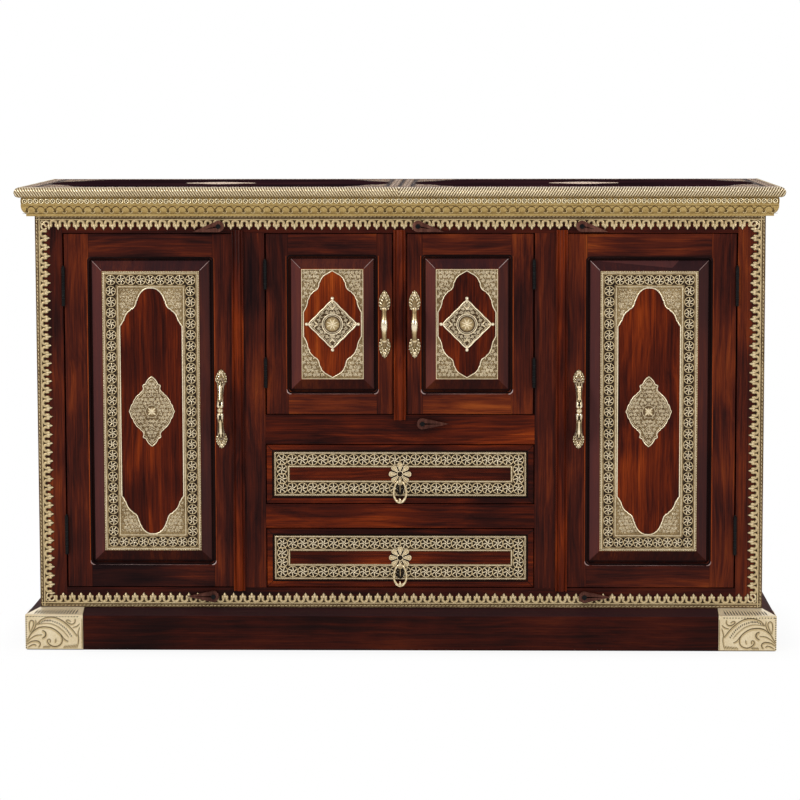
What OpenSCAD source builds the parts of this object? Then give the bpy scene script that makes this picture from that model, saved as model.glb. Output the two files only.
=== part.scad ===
// Sideboard of dark rosewood dressed with antiqued brass: two tall outer doors, two small
// doors over two drawers in the middle, turn buttons as latches, a rope edge round the top.
// Millimetres. +X to the right, +Y to the back, +Z up, origin on the floor under the
// centre of the bounding box. The front faces -Y.

/* [Overall] */
// Width over the rope edge of the top
overall_w = 1500; // [1400:10:1800]
// Depth from the rope edge to the back
overall_d = 450; // [420:10:560]
// Height from the floor to the top
overall_h = 915; // [880:5:1100]
// How far the rope edge stands out from the body
overhang = 35; // [34:1:50]

/* [Top and cornice] */
// Thickness of the wooden top
top_t = 32; // [30:1:40]
// Thickness of every brass sheet
sheet_t = 1; // [0.6:0.1:1.2]
// Height of the bead strip under the rope
bead_h = 12; // [8:1:16]
// How far the top board stands out from the body
top_out = 21; // [18:1:24]
// Thickness of the bead strip
bead_t = 2; // [1:0.5:3]
// Height of the cornice moulding
cornice_h = 24; // [18:1:30]
// How far the cornice stands out at its lower edge
cornice_low_out = 14; // [12:1:17]
// Half width across the dark field of the top
top_field_half = 195; // [150:5:200]
// Length of the carved end of a dark field of the top
top_field_end = 95; // [60:5:120]
// Space between the two dark fields
top_field_gap = 50; // [30:5:80]
// Space between a dark field and the end of the top
top_field_edge = 26; // [20:2:50]

/* [Plinth] */
// Height of the upright face of the plinth
plinth_h = 70; // [50:5:120]
// Height of the bevel on the plinth
plinth_bevel = 10; // [6:1:16]
// How far the plinth stands out from the body
plinth_out = 25; // [15:1:30]
// Thickness of the plinth boards
plinth_t = 40; // [34:1:50]
// Thickness of the plinth back board
plinth_back_t = 20; // [15:1:30]
// Width of the brass corner plates on the front
corner_w = 114; // [80:2:160]
// Length of the brass corner plates on the side
corner_side = 60; // [40:5:120]
// Thickness of the brass corner plates
corner_t = 1.5; // [1:0.1:2]

/* [Carcass] */
// Thickness of the side panels
side_t = 20; // [18:1:25]
// Thickness of the back panel
back_t = 10; // [6:1:15]
// Thickness of dividers, shelves and inner panels
panel_t = 18; // [15:1:22]
// Thickness of the face frame
frame_t = 25; // [22:1:28]
// Width of the outer stiles
stile_w = 53.5; // [48:0.5:70]
// Width of the opening of the middle column
centre_w = 530; // [480:10:640]
// Width of the stiles beside the middle column
mullion_w = 53; // [46:1:70]
// Width of the stile between the small doors
centre_stile_w = 25; // [20:1:34]
// Height of the top rail
rail_top_h = 58; // [56:1:80]
// Height of the bottom rail
rail_bottom_h = 41; // [40:1:60]
// Height of the rail under the small doors
rail_middle_h = 58; // [50:1:80]
// Height of the rail between the drawers
rail_drawer_h = 47; // [40:1:70]
// Height of each drawer opening
drawer_h = 120; // [110:5:140]
// Height of the fixed shelves above the cupboard floor
shelf_rise = 340; // [200:10:480]
// How far the shelves stay back from the doors
shelf_setback = 40; // [20:5:80]
// Width and height of the shelf cleats
cleat_w = 15; // [10:1:20]
// How far the door stops reach behind the doors
stop_lap = 15; // [10:1:20]
// Height of the door stops
stop_h = 30; // [20:2:60]
// Thickness of the door stops
stop_t = 12; // [8:1:20]

/* [Doors] */
// Gap round doors and turn buttons
door_gap = 1.5; // [1:0.1:2.5]
// Gap on the hinge side, which holds both hinge leaves
hinge_gap = 3; // [2.8:0.1:3.4]
// Gap between a closed door and its stop
seat_gap = 0.3; // [0.2:0.1:0.6]
// Width of the tall doors' stiles
tall_stile_w = 48; // [44:1:60]
// Height of the tall doors' rails
tall_rail_w = 47; // [40:1:60]
// Width of the small doors' stile on the hinge side
small_stile_w = 43; // [38:1:50]
// Width of the small doors' stile on the free side
small_free_w = 31; // [28:1:40]
// Height of the small doors' rails
small_rail_w = 43; // [38:1:60]
// Radius of the corners of the panel groove
groove_r = 10; // [4:1:14]
// Width of the groove round a panel
groove_w = 5; // [3:0.5:8]
// Depth of the groove round a panel
groove_deep = 7; // [4:0.5:10]
// Width of the panel's bevel
bevel_w = 20; // [12:1:24]
// Rise of the panel's bevel
bevel_rise = 5; // [3:0.5:6]
// Wood left between a bevel and the brass
plate_margin = 1; // [0.5:0.5:3]
// Width of the strips on the tall doors and between the small doors
strip_w = 23; // [18:1:28]
// How far the strips stand out
strip_t = 8; // [5:0.5:10]
// How far the strips overlap the rails
strip_lap = 6; // [2:0.5:7]

/* [Hinges] */
// Length of the tall doors' hinges
tall_hinge_l = 76; // [60:2:90]
// Length of the small doors' hinges
small_hinge_l = 56; // [40:2:70]
// Radius of the knuckles
knuckle_r = 3.5; // [3:0.1:3.8]
// Radius of the pins
pin_r = 1.6; // [1.2:0.1:2]
// Running clearance of a pin in a knuckle and of a screw in a turn button
pin_fit = 0.06; // [0.02:0.01:0.1]
// Thickness of the leaves
leaf_t = 1.3; // [1:0.05:1.35]
// Distance of a tall door's hinges from its ends
tall_hinge_in = 67; // [50:1:90]
// Distance of a small door's hinges from its ends
small_hinge_in = 54; // [40:1:80]

/* [Brass on the doors] */
// Width of the pierced band round the tall doors' plates
band_w = 32; // [24:1:36]
// Extra thickness of that band
band_t = 0.6; // [0.3:0.1:1]
// Length of the carved ends of the cut-out
ogee_end = 80; // [60:2:90]
// Brass left beside the small doors' cut-out
rim_w = 4; // [3:0.5:8]
// Brass left over the points of the small doors' cut-out
rim_end = 5; // [3:0.5:10]
// Half width of the tall doors' medallions
medal_w = 45.5; // [36:0.5:50]
// Half length of the tall doors' medallions
medal_l = 71.5; // [50:0.5:80]
// Half diagonal of the small doors' medallions
lozenge_r = 46.5; // [36:0.5:48]
// Radius of the balls on the points of the small doors' medallions
ball_r = 2.8; // [2:0.1:3]
// Radius of the disc in the middle of the small doors' medallions
disc_r = 18.5; // [14:0.5:22]
// Thickness of the medallions
medal_t = 1.6; // [1:0.1:2.4]

/* [Brass borders] */
// Width of the borders from their edge to the points
border_w = 27; // [22:1:28]
// Width of the borders' plain band
border_band = 12; // [9:1:14]
// Distance from one point of the borders to the next
border_pitch = 17.8; // [14:0.2:24]
// Thickness of the borders
border_t = 1.5; // [1:0.1:1.7]
// Wood left outside the borders at the sides
border_margin = 2; // [1:0.5:5]
// Wood left under the bottom border
border_lift = 3; // [2:0.5:4]

/* [Drawers] */
// Gap round the drawer fronts
drawer_gap = 2; // [1.5:0.1:3]
// Thickness of the drawer fronts
front_t = 22; // [18:1:25]
// Width of the raised lip round a drawer front
lip_w = 13; // [9:1:16]
// Depth of the sunk field of a drawer front
sunk_t = 3.5; // [2:0.5:5]
// Width of the brass frame on a drawer front
drawer_band_w = 31; // [24:1:34]
// Thickness of the drawer sides and backs
box_t = 12; // [10:1:15]
// Depth of the drawer boxes behind the front
box_d = 350; // [280:10:360]
// Height of the drawer boxes
box_h = 92; // [70:2:100]
// Thickness of the drawer bottoms
box_bottom_t = 6; // [4:1:9]
// Height of the drawer bottom above the lower edge of the sides
box_bottom_up = 8; // [4:1:12]
// Height of a drawer box above its opening's lower edge
box_up = 6; // [4:1:10]
// Sliding clearance of the drawer boxes
slide_gap = 0.4; // [0.3:0.1:1]
// Thickness of the runners
runner_t = 12; // [8:1:16]
// Width of the runners' ledges under the sides
runner_w = 30; // [26:1:40]
// Height of the runners' guides beside the drawers
guide_h = 28; // [20:2:50]

/* [Handles] */
// Length of the tall doors' handles
tall_pull_l = 157; // [130:1:170]
// Length of the small doors' handles
small_pull_l = 134; // [120:1:150]
// Half width of the leaf at each end of a handle
pull_leaf_w = 10.5; // [8:0.5:12]
// Length of the leaf at each end of a handle
pull_leaf_l = 30; // [24:1:36]
// Thickness of the leaves
pull_leaf_t = 2.5; // [2:0.1:4]
// How far the middle of a handle's bar stands from the door
pull_rise = 25; // [20:0.5:26]
// Radius of a handle's bar
bar_r = 4.4; // [3:0.1:5]
// Height of the tall handles' middle above the tall doors' lower edge
tall_pull_up = 355; // [250:5:420]
// Distance of the handles from the middle of the tall doors' free stiles
tall_pull_in = 8; // [0:1:12]

/* [Drop pulls] */
// Radius of the circle on which the petals lie
petal_at = 14.5; // [12:0.5:18]
// Radius of a petal
petal_r = 7.6; // [6:0.2:9]
// Number of petals
petals = 8; // [6:1:10]
// Thickness of the rosette
rosette_t = 2.4; // [1.6:0.2:4]
// Radius of the ring's wire
wire_r = 2.2; // [1.6:0.1:2.6]
// Width over the ring
ring_w = 29; // [24:1:34]
// Height over the ring
ring_h = 46; // [36:1:48]
// Distance of the ring's hanger below the middle of the rosette
hanger_down = 13; // [10:1:16]
// Distance of the ring's hanger from the rosette's back
hanger_out = 9; // [8:0.5:12]

/* [Turn buttons] */
// Radius of the round end
button_r = 11; // [9:0.5:12]
// Distance from the screw to the point
button_l = 52; // [44:1:58]
// Thickness of the turn buttons
button_t = 8; // [6:0.5:10]
// Height of the upper screws above the doors' openings
button_up = 13.5; // [13:0.5:16]
// Distance of the lower screws below the doors' openings
button_down = 17; // [16:0.5:19]
// How far the screws stand from the tall doors' strips, above the left and the right door
top_left_in = 36; // [30:0.5:42]
top_right_in = 38.5; // [30:0.5:42]
// The same below the left and the right door
low_left_in = 52; // [44:0.5:60]
low_right_in = 46; // [44:0.5:60]
// How far the middle screws stand from the small doors' strip, above them and below them
top_mid_in = 24; // [20:0.5:30]
low_mid_in = 32; // [26:0.5:38]
// Tilt of the upper turn buttons below level when they are turned aside
button_tilt = 12; // [0:1:12]
// Radius of the screws
screw_r = 2.5; // [2:0.1:3]
// Radius of the screws' heads
head_r = 4.6; // [4:0.1:6]
// Length of the screws in the wood
screw_deep = 18; // [12:1:20]

/* [Hidden] */
$fn = 64;
WOOD = "#5a2415";
WOOD_DARK = "#3a1710";
WOOD_INNER = "#6e3a22";
BRASS = "#b8a468";
IRON = "#23201f";

// A small length by which cutting shapes reach past what they cut
cut = 1;

// Planes of the body
body_x = overall_w / 2 - overhang;
front_y = -overall_d / 2 + overhang;
back_y = overall_d / 2;
inner_front_y = front_y + frame_t;
inner_back_y = back_y - back_t;
inner_x = body_x - side_t;

// Levels from the floor up
body_z = plinth_h + plinth_bevel;
open_z = body_z + rail_bottom_h;
low_drawer_z = open_z;
drawer_rail_z = low_drawer_z + drawer_h;
up_drawer_z = drawer_rail_z + rail_drawer_h;
middle_rail_z = up_drawer_z + drawer_h;
small_z = middle_rail_z + rail_middle_h;
top_z = overall_h - sheet_t;
board_z = top_z - top_t;
open_top_z = board_z - rail_top_h;
cornice_z = board_z - cornice_h;
rope_d = overall_h - board_z - bead_h;
rope_r = rope_d / 2;

// Openings across
centre_x = centre_w / 2;
tall_x0 = centre_x + mullion_w;
tall_x1 = body_x - stile_w;
small_x0 = centre_stile_w / 2;
small_x1 = centre_x;
divider_x = centre_x + (mullion_w - panel_t) / 8;

// Doors
door_t = frame_t - seat_gap;
barrel_y = front_y - knuckle_r - 0.4;
plate_in = groove_w + bevel_w + plate_margin;
leaf_y = front_y + 0.2;
leaf_d = 22;
knuckles = 5;
knuckle_gap = 0.3;

// Drawers
side_x = centre_x - drawer_gap - 0.6 - box_t;
box_y0 = front_y + front_t;
box_y1 = box_y0 + box_d;

// Turn buttons: place, side to which they are turned, and -1 above or 1 below a door
button_y = front_y - border_t - 0.6;
collar_r = 5;
top_button_z = open_top_z + button_up;
low_button_z = open_z - button_down;
mid_button_z = small_z - button_down;
left_top_x = -tall_x0 - top_left_in;
right_top_x = tall_x0 + top_right_in;
mid_top_x = small_x0 + top_mid_in;
left_low_x = -tall_x0 - low_left_in;
right_low_x = tall_x0 + low_right_in;
mid_low_x = small_x0 + low_mid_in;

// A block from its two corners
module span(a, b) {
    translate(a) cube(b - a);
}

// The same thing on the left and on the right
module both() {
    children();
    mirror([1, 0, 0]) children();
}

// Points from p towards q on a curve that bulges s to the left of the way, without q
function bow(p, q, s, n = 5) = [
    for (i = [0:n - 1])
        let (t = i / n, d = q - p)
            p + d * t + 4 * s * t * (1 - t) * [-d[1], d[0]] / norm(d)
];

function flip_x(pts) = [for (i = [len(pts) - 1:-1:0]) [-pts[i][0], pts[i][1]]];
function flip_y(pts) = [for (i = [len(pts) - 1:-1:0]) [pts[i][0], -pts[i][1]]];

// A quarter, from its point on the second axis to its side, made whole round both axes.
// Each copy leaves out the point that it shares with the one before.
function tail(pts) = [for (i = [1:len(pts) - 1]) pts[i]];
function trim_end(pts) = [for (i = [0:len(pts) - 2]) pts[i]];
function whole(quarter) =
    let (half = concat(quarter, tail(flip_y(quarter))))
        concat(half, tail(trim_end(flip_x(half))));

// Carved end of a cut-out, w to the side and h long, over a straight side of length s
function ogee_quarter(w, s, h) =
    let (
        tip = [0, s + h],
        lobe = [0.38 * w, s + 0.70 * h],
        step = [0.46 * w, s + 0.70 * h],
        waist = [0.62 * w, s + 0.41 * h],
        knee = [0.84 * w, s + 0.23 * h],
        side = [w, s]
    )
        concat(
            bow(tip, lobe, 0.05 * h), [lobe], bow(step, waist, -0.06 * h),
            bow(waist, knee, 0.03 * h), bow(knee, side, -0.01 * h), [side]
        );

// The cut-out of a plate. A short straight side keeps the two ends apart.
module ogee(w, s, h) {
    polygon(whole(concat(ogee_quarter(w, s, h), [[w, s - 0.5]])));
}

// The tall doors' medallion: a pointed oval with an ear on each shoulder
function medal_quarter(w, h) =
    let (
        tip = [0, h],
        shoulder = [0.33 * w, 0.77 * h],
        ear = [0.40 * w, 0.735 * h],
        neck = [0.335 * w, 0.655 * h],
        cusp = [0.555 * w, 0.505 * h],
        side = [0.87 * w, 0.21 * h],
        point = [w, 0]
    )
        concat(
            bow(tip, shoulder, 0.03 * h), [shoulder, ear], bow(neck, cusp, -0.02 * h),
            bow(cusp, side, 0.05 * h), bow(side, point, -0.02 * h), [point]
        );

// A rectangle with round corners, from corner to corner
module round_rect(a, b, r) {
    translate([a[0] + r, a[1]]) square([b[0] - a[0] - 2 * r, b[1] - a[1]]);
    translate([a[0], a[1] + r]) square([b[0] - a[0], b[1] - a[1] - 2 * r]);
    for (x = [a[0] + r, b[0] - r])
        for (z = [a[1] + r, b[1] - r])
            translate([x, z]) circle(r);
}

// Stands a drawing up on the front: its back at y, thickness t towards the front
module face(y, t) {
    translate([0, y, 0]) rotate([90, 0, 0]) linear_extrude(t) children();
}

// Mouldings that go round the front and both sides. Their drawing has the distance out
// of the body across and the height up, and lies between lo and hi.
module front_run(lo, hi) {
    intersection() {
        translate([body_x + hi, front_y, 0]) rotate([90, 0, -90])
            linear_extrude(2 * (body_x + hi)) children();
        linear_extrude(overall_h + cut) polygon([
            [-body_x - lo, front_y - lo], [-body_x - hi, front_y - hi],
            [body_x + hi, front_y - hi], [body_x + lo, front_y - lo]
        ]);
    }
}

module side_run(lo, hi) {
    intersection() {
        translate([body_x, back_y, 0]) rotate([90, 0, 0])
            linear_extrude(overall_d) children();
        linear_extrude(overall_h + cut) polygon([
            [body_x + lo, front_y - lo], [body_x + hi, front_y - hi],
            [body_x + hi, back_y], [body_x + lo, back_y]
        ]);
    }
}

// Plinth

module plinth_profile() {
    back = plinth_out - plinth_t;
    polygon([
        [back, 0], [plinth_out, 0], [plinth_out, plinth_h], [0, body_z], [back, body_z]
    ]);
}

module plinth_front() {
    color(WOOD) front_run(plinth_out - plinth_t, plinth_out) plinth_profile();
}

module plinth_sides() {
    color(WOOD) both() side_run(plinth_out - plinth_t, plinth_out) plinth_profile();
}

module plinth_back() {
    x = body_x + plinth_out - plinth_t;
    color(WOOD) span([-x, back_y - plinth_back_t, 0], [x, back_y, body_z]);
}

// Folded brass plates on the front corners, a little clear of the floor
module plinth_corners() {
    out = plinth_out + corner_t;
    foot = 2;
    rise = corner_t * 1.07;
    x0 = body_x + out - corner_w;
    color(BRASS) both() {
        intersection() {
            front_run(0, out) polygon([
                [plinth_out, foot], [out, foot], [out, plinth_h + 0.6 * corner_t],
                [0, body_z + rise], [0, body_z], [plinth_out, plinth_h]
            ]);
            span([x0, front_y - out, 0], [body_x + out, front_y, body_z + 2 * rise]);
        }
        intersection() {
            side_run(plinth_out, out) polygon([
                [plinth_out, foot], [out, foot], [out, plinth_h], [plinth_out, plinth_h]
            ]);
            span([body_x, front_y - out, 0], [body_x + out, front_y - out + corner_side, body_z]);
        }
    }
}

// Carcass

// The bottom, and the panel under the top board
module flat_panels() {
    color(WOOD_INNER) for (z = [body_z, board_z - panel_t])
        span([-inner_x, inner_front_y, z], [inner_x, inner_back_y, z + panel_t]);
}

module side_panels() {
    color(WOOD) both()
        span([inner_x, inner_front_y, body_z], [body_x, inner_back_y, board_z]);
}

module dividers() {
    color(WOOD_INNER) both() span(
        [divider_x, inner_front_y, body_z + panel_t],
        [divider_x + panel_t, inner_back_y, board_z - panel_t]
    );
}

module back_panel() {
    color(WOOD_DARK) span([-body_x, inner_back_y, body_z], [body_x, back_y, board_z]);
}

// One shelf in each tall cupboard and the floor of the small one
shelf_z = body_z + panel_t + shelf_rise;
module shelves() {
    color(WOOD_INNER) {
        both() span(
            [divider_x + panel_t, inner_front_y + shelf_setback, shelf_z],
            [inner_x, inner_back_y, shelf_z + panel_t]
        );
        span(
            [-divider_x, inner_front_y, small_z - 2 - panel_t],
            [divider_x, inner_back_y, small_z - 2]
        );
    }
}

// Face frame

module outer_stiles() {
    color(WOOD) both() span([tall_x1, front_y, body_z], [body_x, inner_front_y, board_z]);
}

module mullions() {
    color(WOOD) {
        both() span([centre_x, front_y, open_z], [tall_x0, inner_front_y, open_top_z]);
        span([-small_x0, front_y, small_z], [small_x0, inner_front_y, open_top_z]);
    }
}

// The hole of a turn button's screw
module screw_hole(x, z) {
    translate([x, front_y + screw_deep, z]) rotate([90, 0, 0])
        cylinder(r = screw_r, h = screw_deep + cut);
}

module main_rails() {
    color(WOOD) {
        difference() {
            span([-tall_x1, front_y, open_top_z], [tall_x1, inner_front_y, board_z]);
            for (x = [left_top_x, mid_top_x, right_top_x]) screw_hole(x, top_button_z);
        }
        difference() {
            span([-tall_x1, front_y, body_z], [tall_x1, inner_front_y, open_z]);
            for (x = [left_low_x, right_low_x]) screw_hole(x, low_button_z);
        }
    }
}

module centre_rails() {
    color(WOOD) {
        difference() {
            span([-centre_x, front_y, middle_rail_z], [centre_x, inner_front_y, small_z]);
            screw_hole(mid_low_x, mid_button_z);
        }
        span([-centre_x, front_y, drawer_rail_z], [centre_x, inner_front_y, up_drawer_z]);
    }
}

// A strip with three round reeds: two thin ones beside a wide one
module reeded_strip(z0, z1) {
    thin = strip_w * 0.16;
    wide = strip_w / 2 - thin;
    translate([0, front_y, z0]) linear_extrude(z1 - z0) intersection() {
        union() {
            translate([-strip_w / 2, -strip_t * 0.4]) square([strip_w, strip_t * 0.4]);
            translate([0, wide - strip_t]) circle(wide);
            for (x = [-1, 1])
                translate([x * (strip_w - thin) / 2, -strip_t * 0.4]) circle(thin / 2);
        }
        translate([-strip_w / 2, -strip_t]) square([strip_w, strip_t]);
    }
}

module centre_strip() {
    color(WOOD_DARK) reeded_strip(small_z - strip_lap - 4, open_top_z + strip_lap);
}

// Top and cornice

module cornice_profile() {
    top = top_out + bead_t;
    cove = bow([cornice_low_out, cornice_z + 5], [top, board_z - 4], -2.5, 6);
    polygon(concat(
        [[0, cornice_z], [cornice_low_out, cornice_z]], cove, [[top, board_z - 4]],
        [[top, board_z], [0, board_z]]
    ));
}

module cornice() {
    color(BRASS) {
        front_run(0, overhang) cornice_profile();
        both() side_run(0, overhang) cornice_profile();
    }
}

module top_board() {
    x = body_x + top_out;
    color(WOOD_DARK) span([-x, front_y - top_out, board_z], [x, back_y, top_z]);
}

module bead_profile() {
    translate([top_out, board_z]) square([bead_t, bead_h]);
}

// Round in front, with its back flat against the top board
module rope_profile() {
    low = overall_h - rope_d;
    intersection() {
        translate([overhang - rope_r, overall_h - rope_r]) circle(rope_r);
        translate([top_out, low]) square([overhang - top_out, rope_d]);
    }
    translate([top_out, low]) square([overhang - rope_r - top_out, rope_d]);
}

module edge_brass() {
    color(BRASS) {
        front_run(0, overhang) bead_profile();
        both() side_run(0, overhang) bead_profile();
        front_run(0, overhang) rope_profile();
        both() side_run(0, overhang) rope_profile();
    }
}

// The sheet on the top, open over two dark fields that each hold a medallion
field_half = (body_x + top_out - top_field_edge - top_field_gap / 2) / 2;
field_x = top_field_gap / 2 + field_half;
field_y = (front_y - top_out + back_y) / 2;
module top_brass() {
    x = body_x + top_out;
    color(BRASS) translate([0, 0, top_z]) {
        linear_extrude(sheet_t) difference() {
            translate([-x, front_y - top_out]) square([2 * x, back_y - front_y + top_out]);
            for (s = [-1, 1]) translate([s * field_x, field_y]) rotate(90)
                ogee(top_field_half, field_half - top_field_end, top_field_end);
        }
        for (s = [-1, 1]) translate([s * field_x, field_y]) rotate(90)
            linear_extrude(sheet_t) polygon(whole(medal_quarter(medal_w, medal_l)));
    }
}

// Brass borders on the face frame

// A run of fleurs: a band of the length l along the first axis, with its edge on the axis,
// and fleurs that point up and stay clear of both ends by the border's width
module fleur_run(l) {
    room = l - 2 * border_w;
    n = round(room / border_pitch);
    step = room / n;
    neck = step * 0.2;
    wing = step * 0.4;
    wing_up = border_band + (border_w - border_band) * 0.45;
    polygon(concat(
        [[0, 0], [l, 0], [l, border_band]],
        [for (i = [n - 1:-1:0], k = [0:4])
            let (x = border_w + (i + 0.5) * step)
                k == 0 ? [x + neck, border_band]
                : k == 1 ? [x + wing, wing_up]
                : k == 2 ? [x, border_w]
                : k == 3 ? [x - wing, wing_up]
                : [x - neck, border_band]
        ],
        [[0, border_band]]
    ));
}

border_x = body_x - border_margin;
border_z = body_z + border_lift;
module borders() {
    color(BRASS) {
        difference() {
            face(front_y, border_t)
                translate([border_x, cornice_z]) rotate(180) fleur_run(2 * border_x);
            for (x = [left_top_x, mid_top_x, right_top_x])
                collar_hole(x, top_button_z);
        }
        difference() {
            face(front_y, border_t)
                translate([-border_x, border_z]) fleur_run(2 * border_x);
            for (x = [left_low_x, right_low_x]) collar_hole(x, low_button_z);
        }
        both() face(front_y, border_t) intersection() {
            translate([border_x, border_z]) rotate(90) fleur_run(cornice_z - border_z);
            translate([border_x - border_w, border_z + border_band])
                square([border_w, cornice_z - border_z - 2 * border_band]);
        }
    }
}

module collar_hole(x, z) {
    translate([x, front_y + cut, z]) rotate([90, 0, 0])
        cylinder(r = collar_r + 0.3, h = border_t + 2 * cut);
}

// Height of a drawer's ledges
function ledge_z(z) = z + box_up - slide_gap;

// Battens inside: the drawers' ledges, the shelves' cleats and the doors' stops
module battens() {
    color(WOOD_INNER) {
        both() for (z = [low_drawer_z, up_drawer_z]) span(
            [divider_x - runner_w, inner_front_y, ledge_z(z) - runner_t],
            [divider_x, inner_back_y, ledge_z(z)]
        );
        both() for (x = [divider_x + panel_t, inner_x - cleat_w]) span(
            [x, inner_front_y + shelf_setback, shelf_z - cleat_w],
            [x + cleat_w, inner_back_y, shelf_z]
        );
        for (z = [small_z, open_top_z - stop_h]) door_stop(0, small_x0 + stop_lap, z);
        both() for (z = [open_z, open_top_z - stop_h])
            door_stop(tall_x0, stop_lap, z);
    }
}

// A block behind a stile, which the free edge of a door meets
module door_stop(x, half, z) {
    span([x - half, inner_front_y, z], [x + half, inner_front_y + stop_t, z + stop_h]);
}

// Guides beside the drawers and the stops behind them, on the ledges
module drawer_guides() {
    color(WOOD_INNER) both() for (z = [low_drawer_z, up_drawer_z]) {
        span(
            [side_x + box_t + slide_gap, inner_front_y, ledge_z(z)],
            [divider_x, inner_back_y, ledge_z(z) + guide_h]
        );
        span(
            [side_x, box_y1 + slide_gap, ledge_z(z)],
            [side_x + box_t, inner_back_y, ledge_z(z) + guide_h]
        );
    }
}

// Hinges: xo is the edge of the opening, z the lower end, l the length

function knuckle_z(l, i) = l * i / knuckles;

// The knuckles whose number leaves the given rest when halved, with leaf and necks
module hinge_half(xo, z, l, odd) {
    axis_x = xo - hinge_gap / 2;
    leaf_x = odd == 1 ? xo - hinge_gap : xo - leaf_t;
    difference() {
        union() {
            span([leaf_x, leaf_y, z], [leaf_x + leaf_t, leaf_y + leaf_d, z + l]);
            for (i = [odd:2:knuckles - 1]) {
                z0 = z + knuckle_z(l, i) + knuckle_gap / 2;
                h = l / knuckles - knuckle_gap;
                translate([axis_x, barrel_y, z0]) cylinder(r = knuckle_r, h = h);
                span([leaf_x, barrel_y, z0], [leaf_x + leaf_t, leaf_y + cut, z0 + h]);
            }
        }
        translate([axis_x, barrel_y, z - cut])
            cylinder(r = pin_r + pin_fit, h = l + 2 * cut);
    }
}

module hinge_pin(xo, z, l) {
    top = z + l - knuckle_gap / 2;
    translate([xo - hinge_gap / 2, barrel_y, z]) cylinder(r = pin_r, h = l);
    translate([xo - hinge_gap / 2, barrel_y, top]) cylinder(r = knuckle_r - 0.6, h = 1.6);
    translate([xo - hinge_gap / 2, barrel_y, top + 2.6]) sphere(r = 1.9);
}

tall_hinge_z = [open_z + tall_hinge_in, open_top_z - tall_hinge_in - tall_hinge_l];
small_hinge_z = [small_z + small_hinge_in, open_top_z - small_hinge_in - small_hinge_l];

module hinge_leaves() {
    color(IRON) both() {
        for (z = tall_hinge_z) hinge_half(tall_x1, z, tall_hinge_l, 0);
        for (z = small_hinge_z) hinge_half(small_x1, z, small_hinge_l, 0);
    }
}

module hinge_pins() {
    color(IRON) both() {
        for (z = tall_hinge_z) hinge_pin(tall_x1, z, tall_hinge_l);
        for (z = small_hinge_z) hinge_pin(small_x1, z, small_hinge_l);
    }
}

module tall_door_hinges() {
    color(IRON) for (z = tall_hinge_z) hinge_half(tall_x1, z, tall_hinge_l, 1);
}

module small_door_hinges() {
    color(IRON) for (z = small_hinge_z) hinge_half(small_x1, z, small_hinge_l, 1);
}

// Doors, drawn on the right: a, b are the corners of the door, c, d those of its panel

tall_a = [tall_x0 + door_gap, open_z + door_gap];
tall_b = [tall_x1 - hinge_gap, open_top_z - door_gap];
tall_c = tall_a + [tall_stile_w, tall_rail_w];
tall_d = tall_b - [tall_stile_w, tall_rail_w];
small_a = [small_x0 + door_gap, small_z + door_gap];
small_b = [small_x1 - hinge_gap, open_top_z - door_gap];
small_c = small_a + [small_free_w, small_rail_w];
small_d = small_b - [small_stile_w, small_rail_w];

module door_frame(a, b, c, d) {
    color(WOOD) face(front_y + door_t, door_t) difference() {
        translate(a) square(b - a);
        round_rect(c, d, groove_r);
    }
}

// The field rises from the groove on four bevels to the level of the frame
module door_panel(c, d) {
    in = groove_w;
    low = front_y + bevel_rise;
    color(WOOD_DARK) {
        face(front_y + door_t, door_t - groove_deep) round_rect(c, d, groove_r);
        intersection() {
            translate([0, 0, c[1]]) linear_extrude(d[1] - c[1]) polygon([
                [c[0] + in, front_y + groove_deep], [c[0] + in, low],
                [c[0] + in + bevel_w, front_y], [d[0] - in - bevel_w, front_y],
                [d[0] - in, low], [d[0] - in, front_y + groove_deep]
            ]);
            translate([c[0], 0, 0]) rotate([90, 0, 90]) linear_extrude(d[0] - c[0]) polygon([
                [front_y + groove_deep, c[1] + in], [low, c[1] + in],
                [front_y, c[1] + in + bevel_w], [front_y, d[1] - in - bevel_w],
                [low, d[1] - in], [front_y + groove_deep, d[1] - in]
            ]);
        }
    }
}

// Brass of a tall door: a plate with a raised band, and the medallion in its cut-out
module tall_brass() {
    a = tall_c + [plate_in, plate_in];
    b = tall_d - [plate_in, plate_in];
    mid = (a + b) / 2;
    w = (b[0] - a[0]) / 2 - band_w;
    s = (b[1] - a[1]) / 2 - band_w - rim_w - ogee_end;
    color(BRASS) {
        difference() {
            union() {
                face(front_y, sheet_t) translate(a) square(b - a);
                face(front_y - sheet_t, band_t) difference() {
                    translate(a) square(b - a);
                    translate(a + [band_w, band_w]) square(b - a - 2 * [band_w, band_w]);
                }
            }
            face(front_y + cut, sheet_t + band_t + 2 * cut)
                translate(mid) ogee(w - rim_w / 2, s, ogee_end);
        }
        face(front_y, medal_t) translate(mid) polygon(whole(medal_quarter(medal_w, medal_l)));
    }
}

// Brass of a small door: a plate with a cut-out, and a lozenge with balls on its points
module small_brass() {
    a = small_c + [plate_in, plate_in];
    b = small_d - [plate_in, plate_in];
    mid = (a + b) / 2;
    half = (b - a) / 2;
    color(BRASS) {
        face(front_y, sheet_t) difference() {
            translate(a) square(b - a);
            translate(mid) ogee(half[0] - rim_w, half[1] - rim_end - ogee_end, ogee_end);
        }
        face(front_y, medal_t) translate(mid) {
            polygon([[0, lozenge_r], [lozenge_r, 0], [0, -lozenge_r], [-lozenge_r, 0]]);
            for (t = [0:90:270]) rotate(t) translate([0, lozenge_r + ball_r * 0.8]) circle(ball_r);
        }
        face(front_y - medal_t, 1.2) translate(mid) circle(disc_r);
    }
}

// Handles, drawn about their middle on the plane of the door's face

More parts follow.
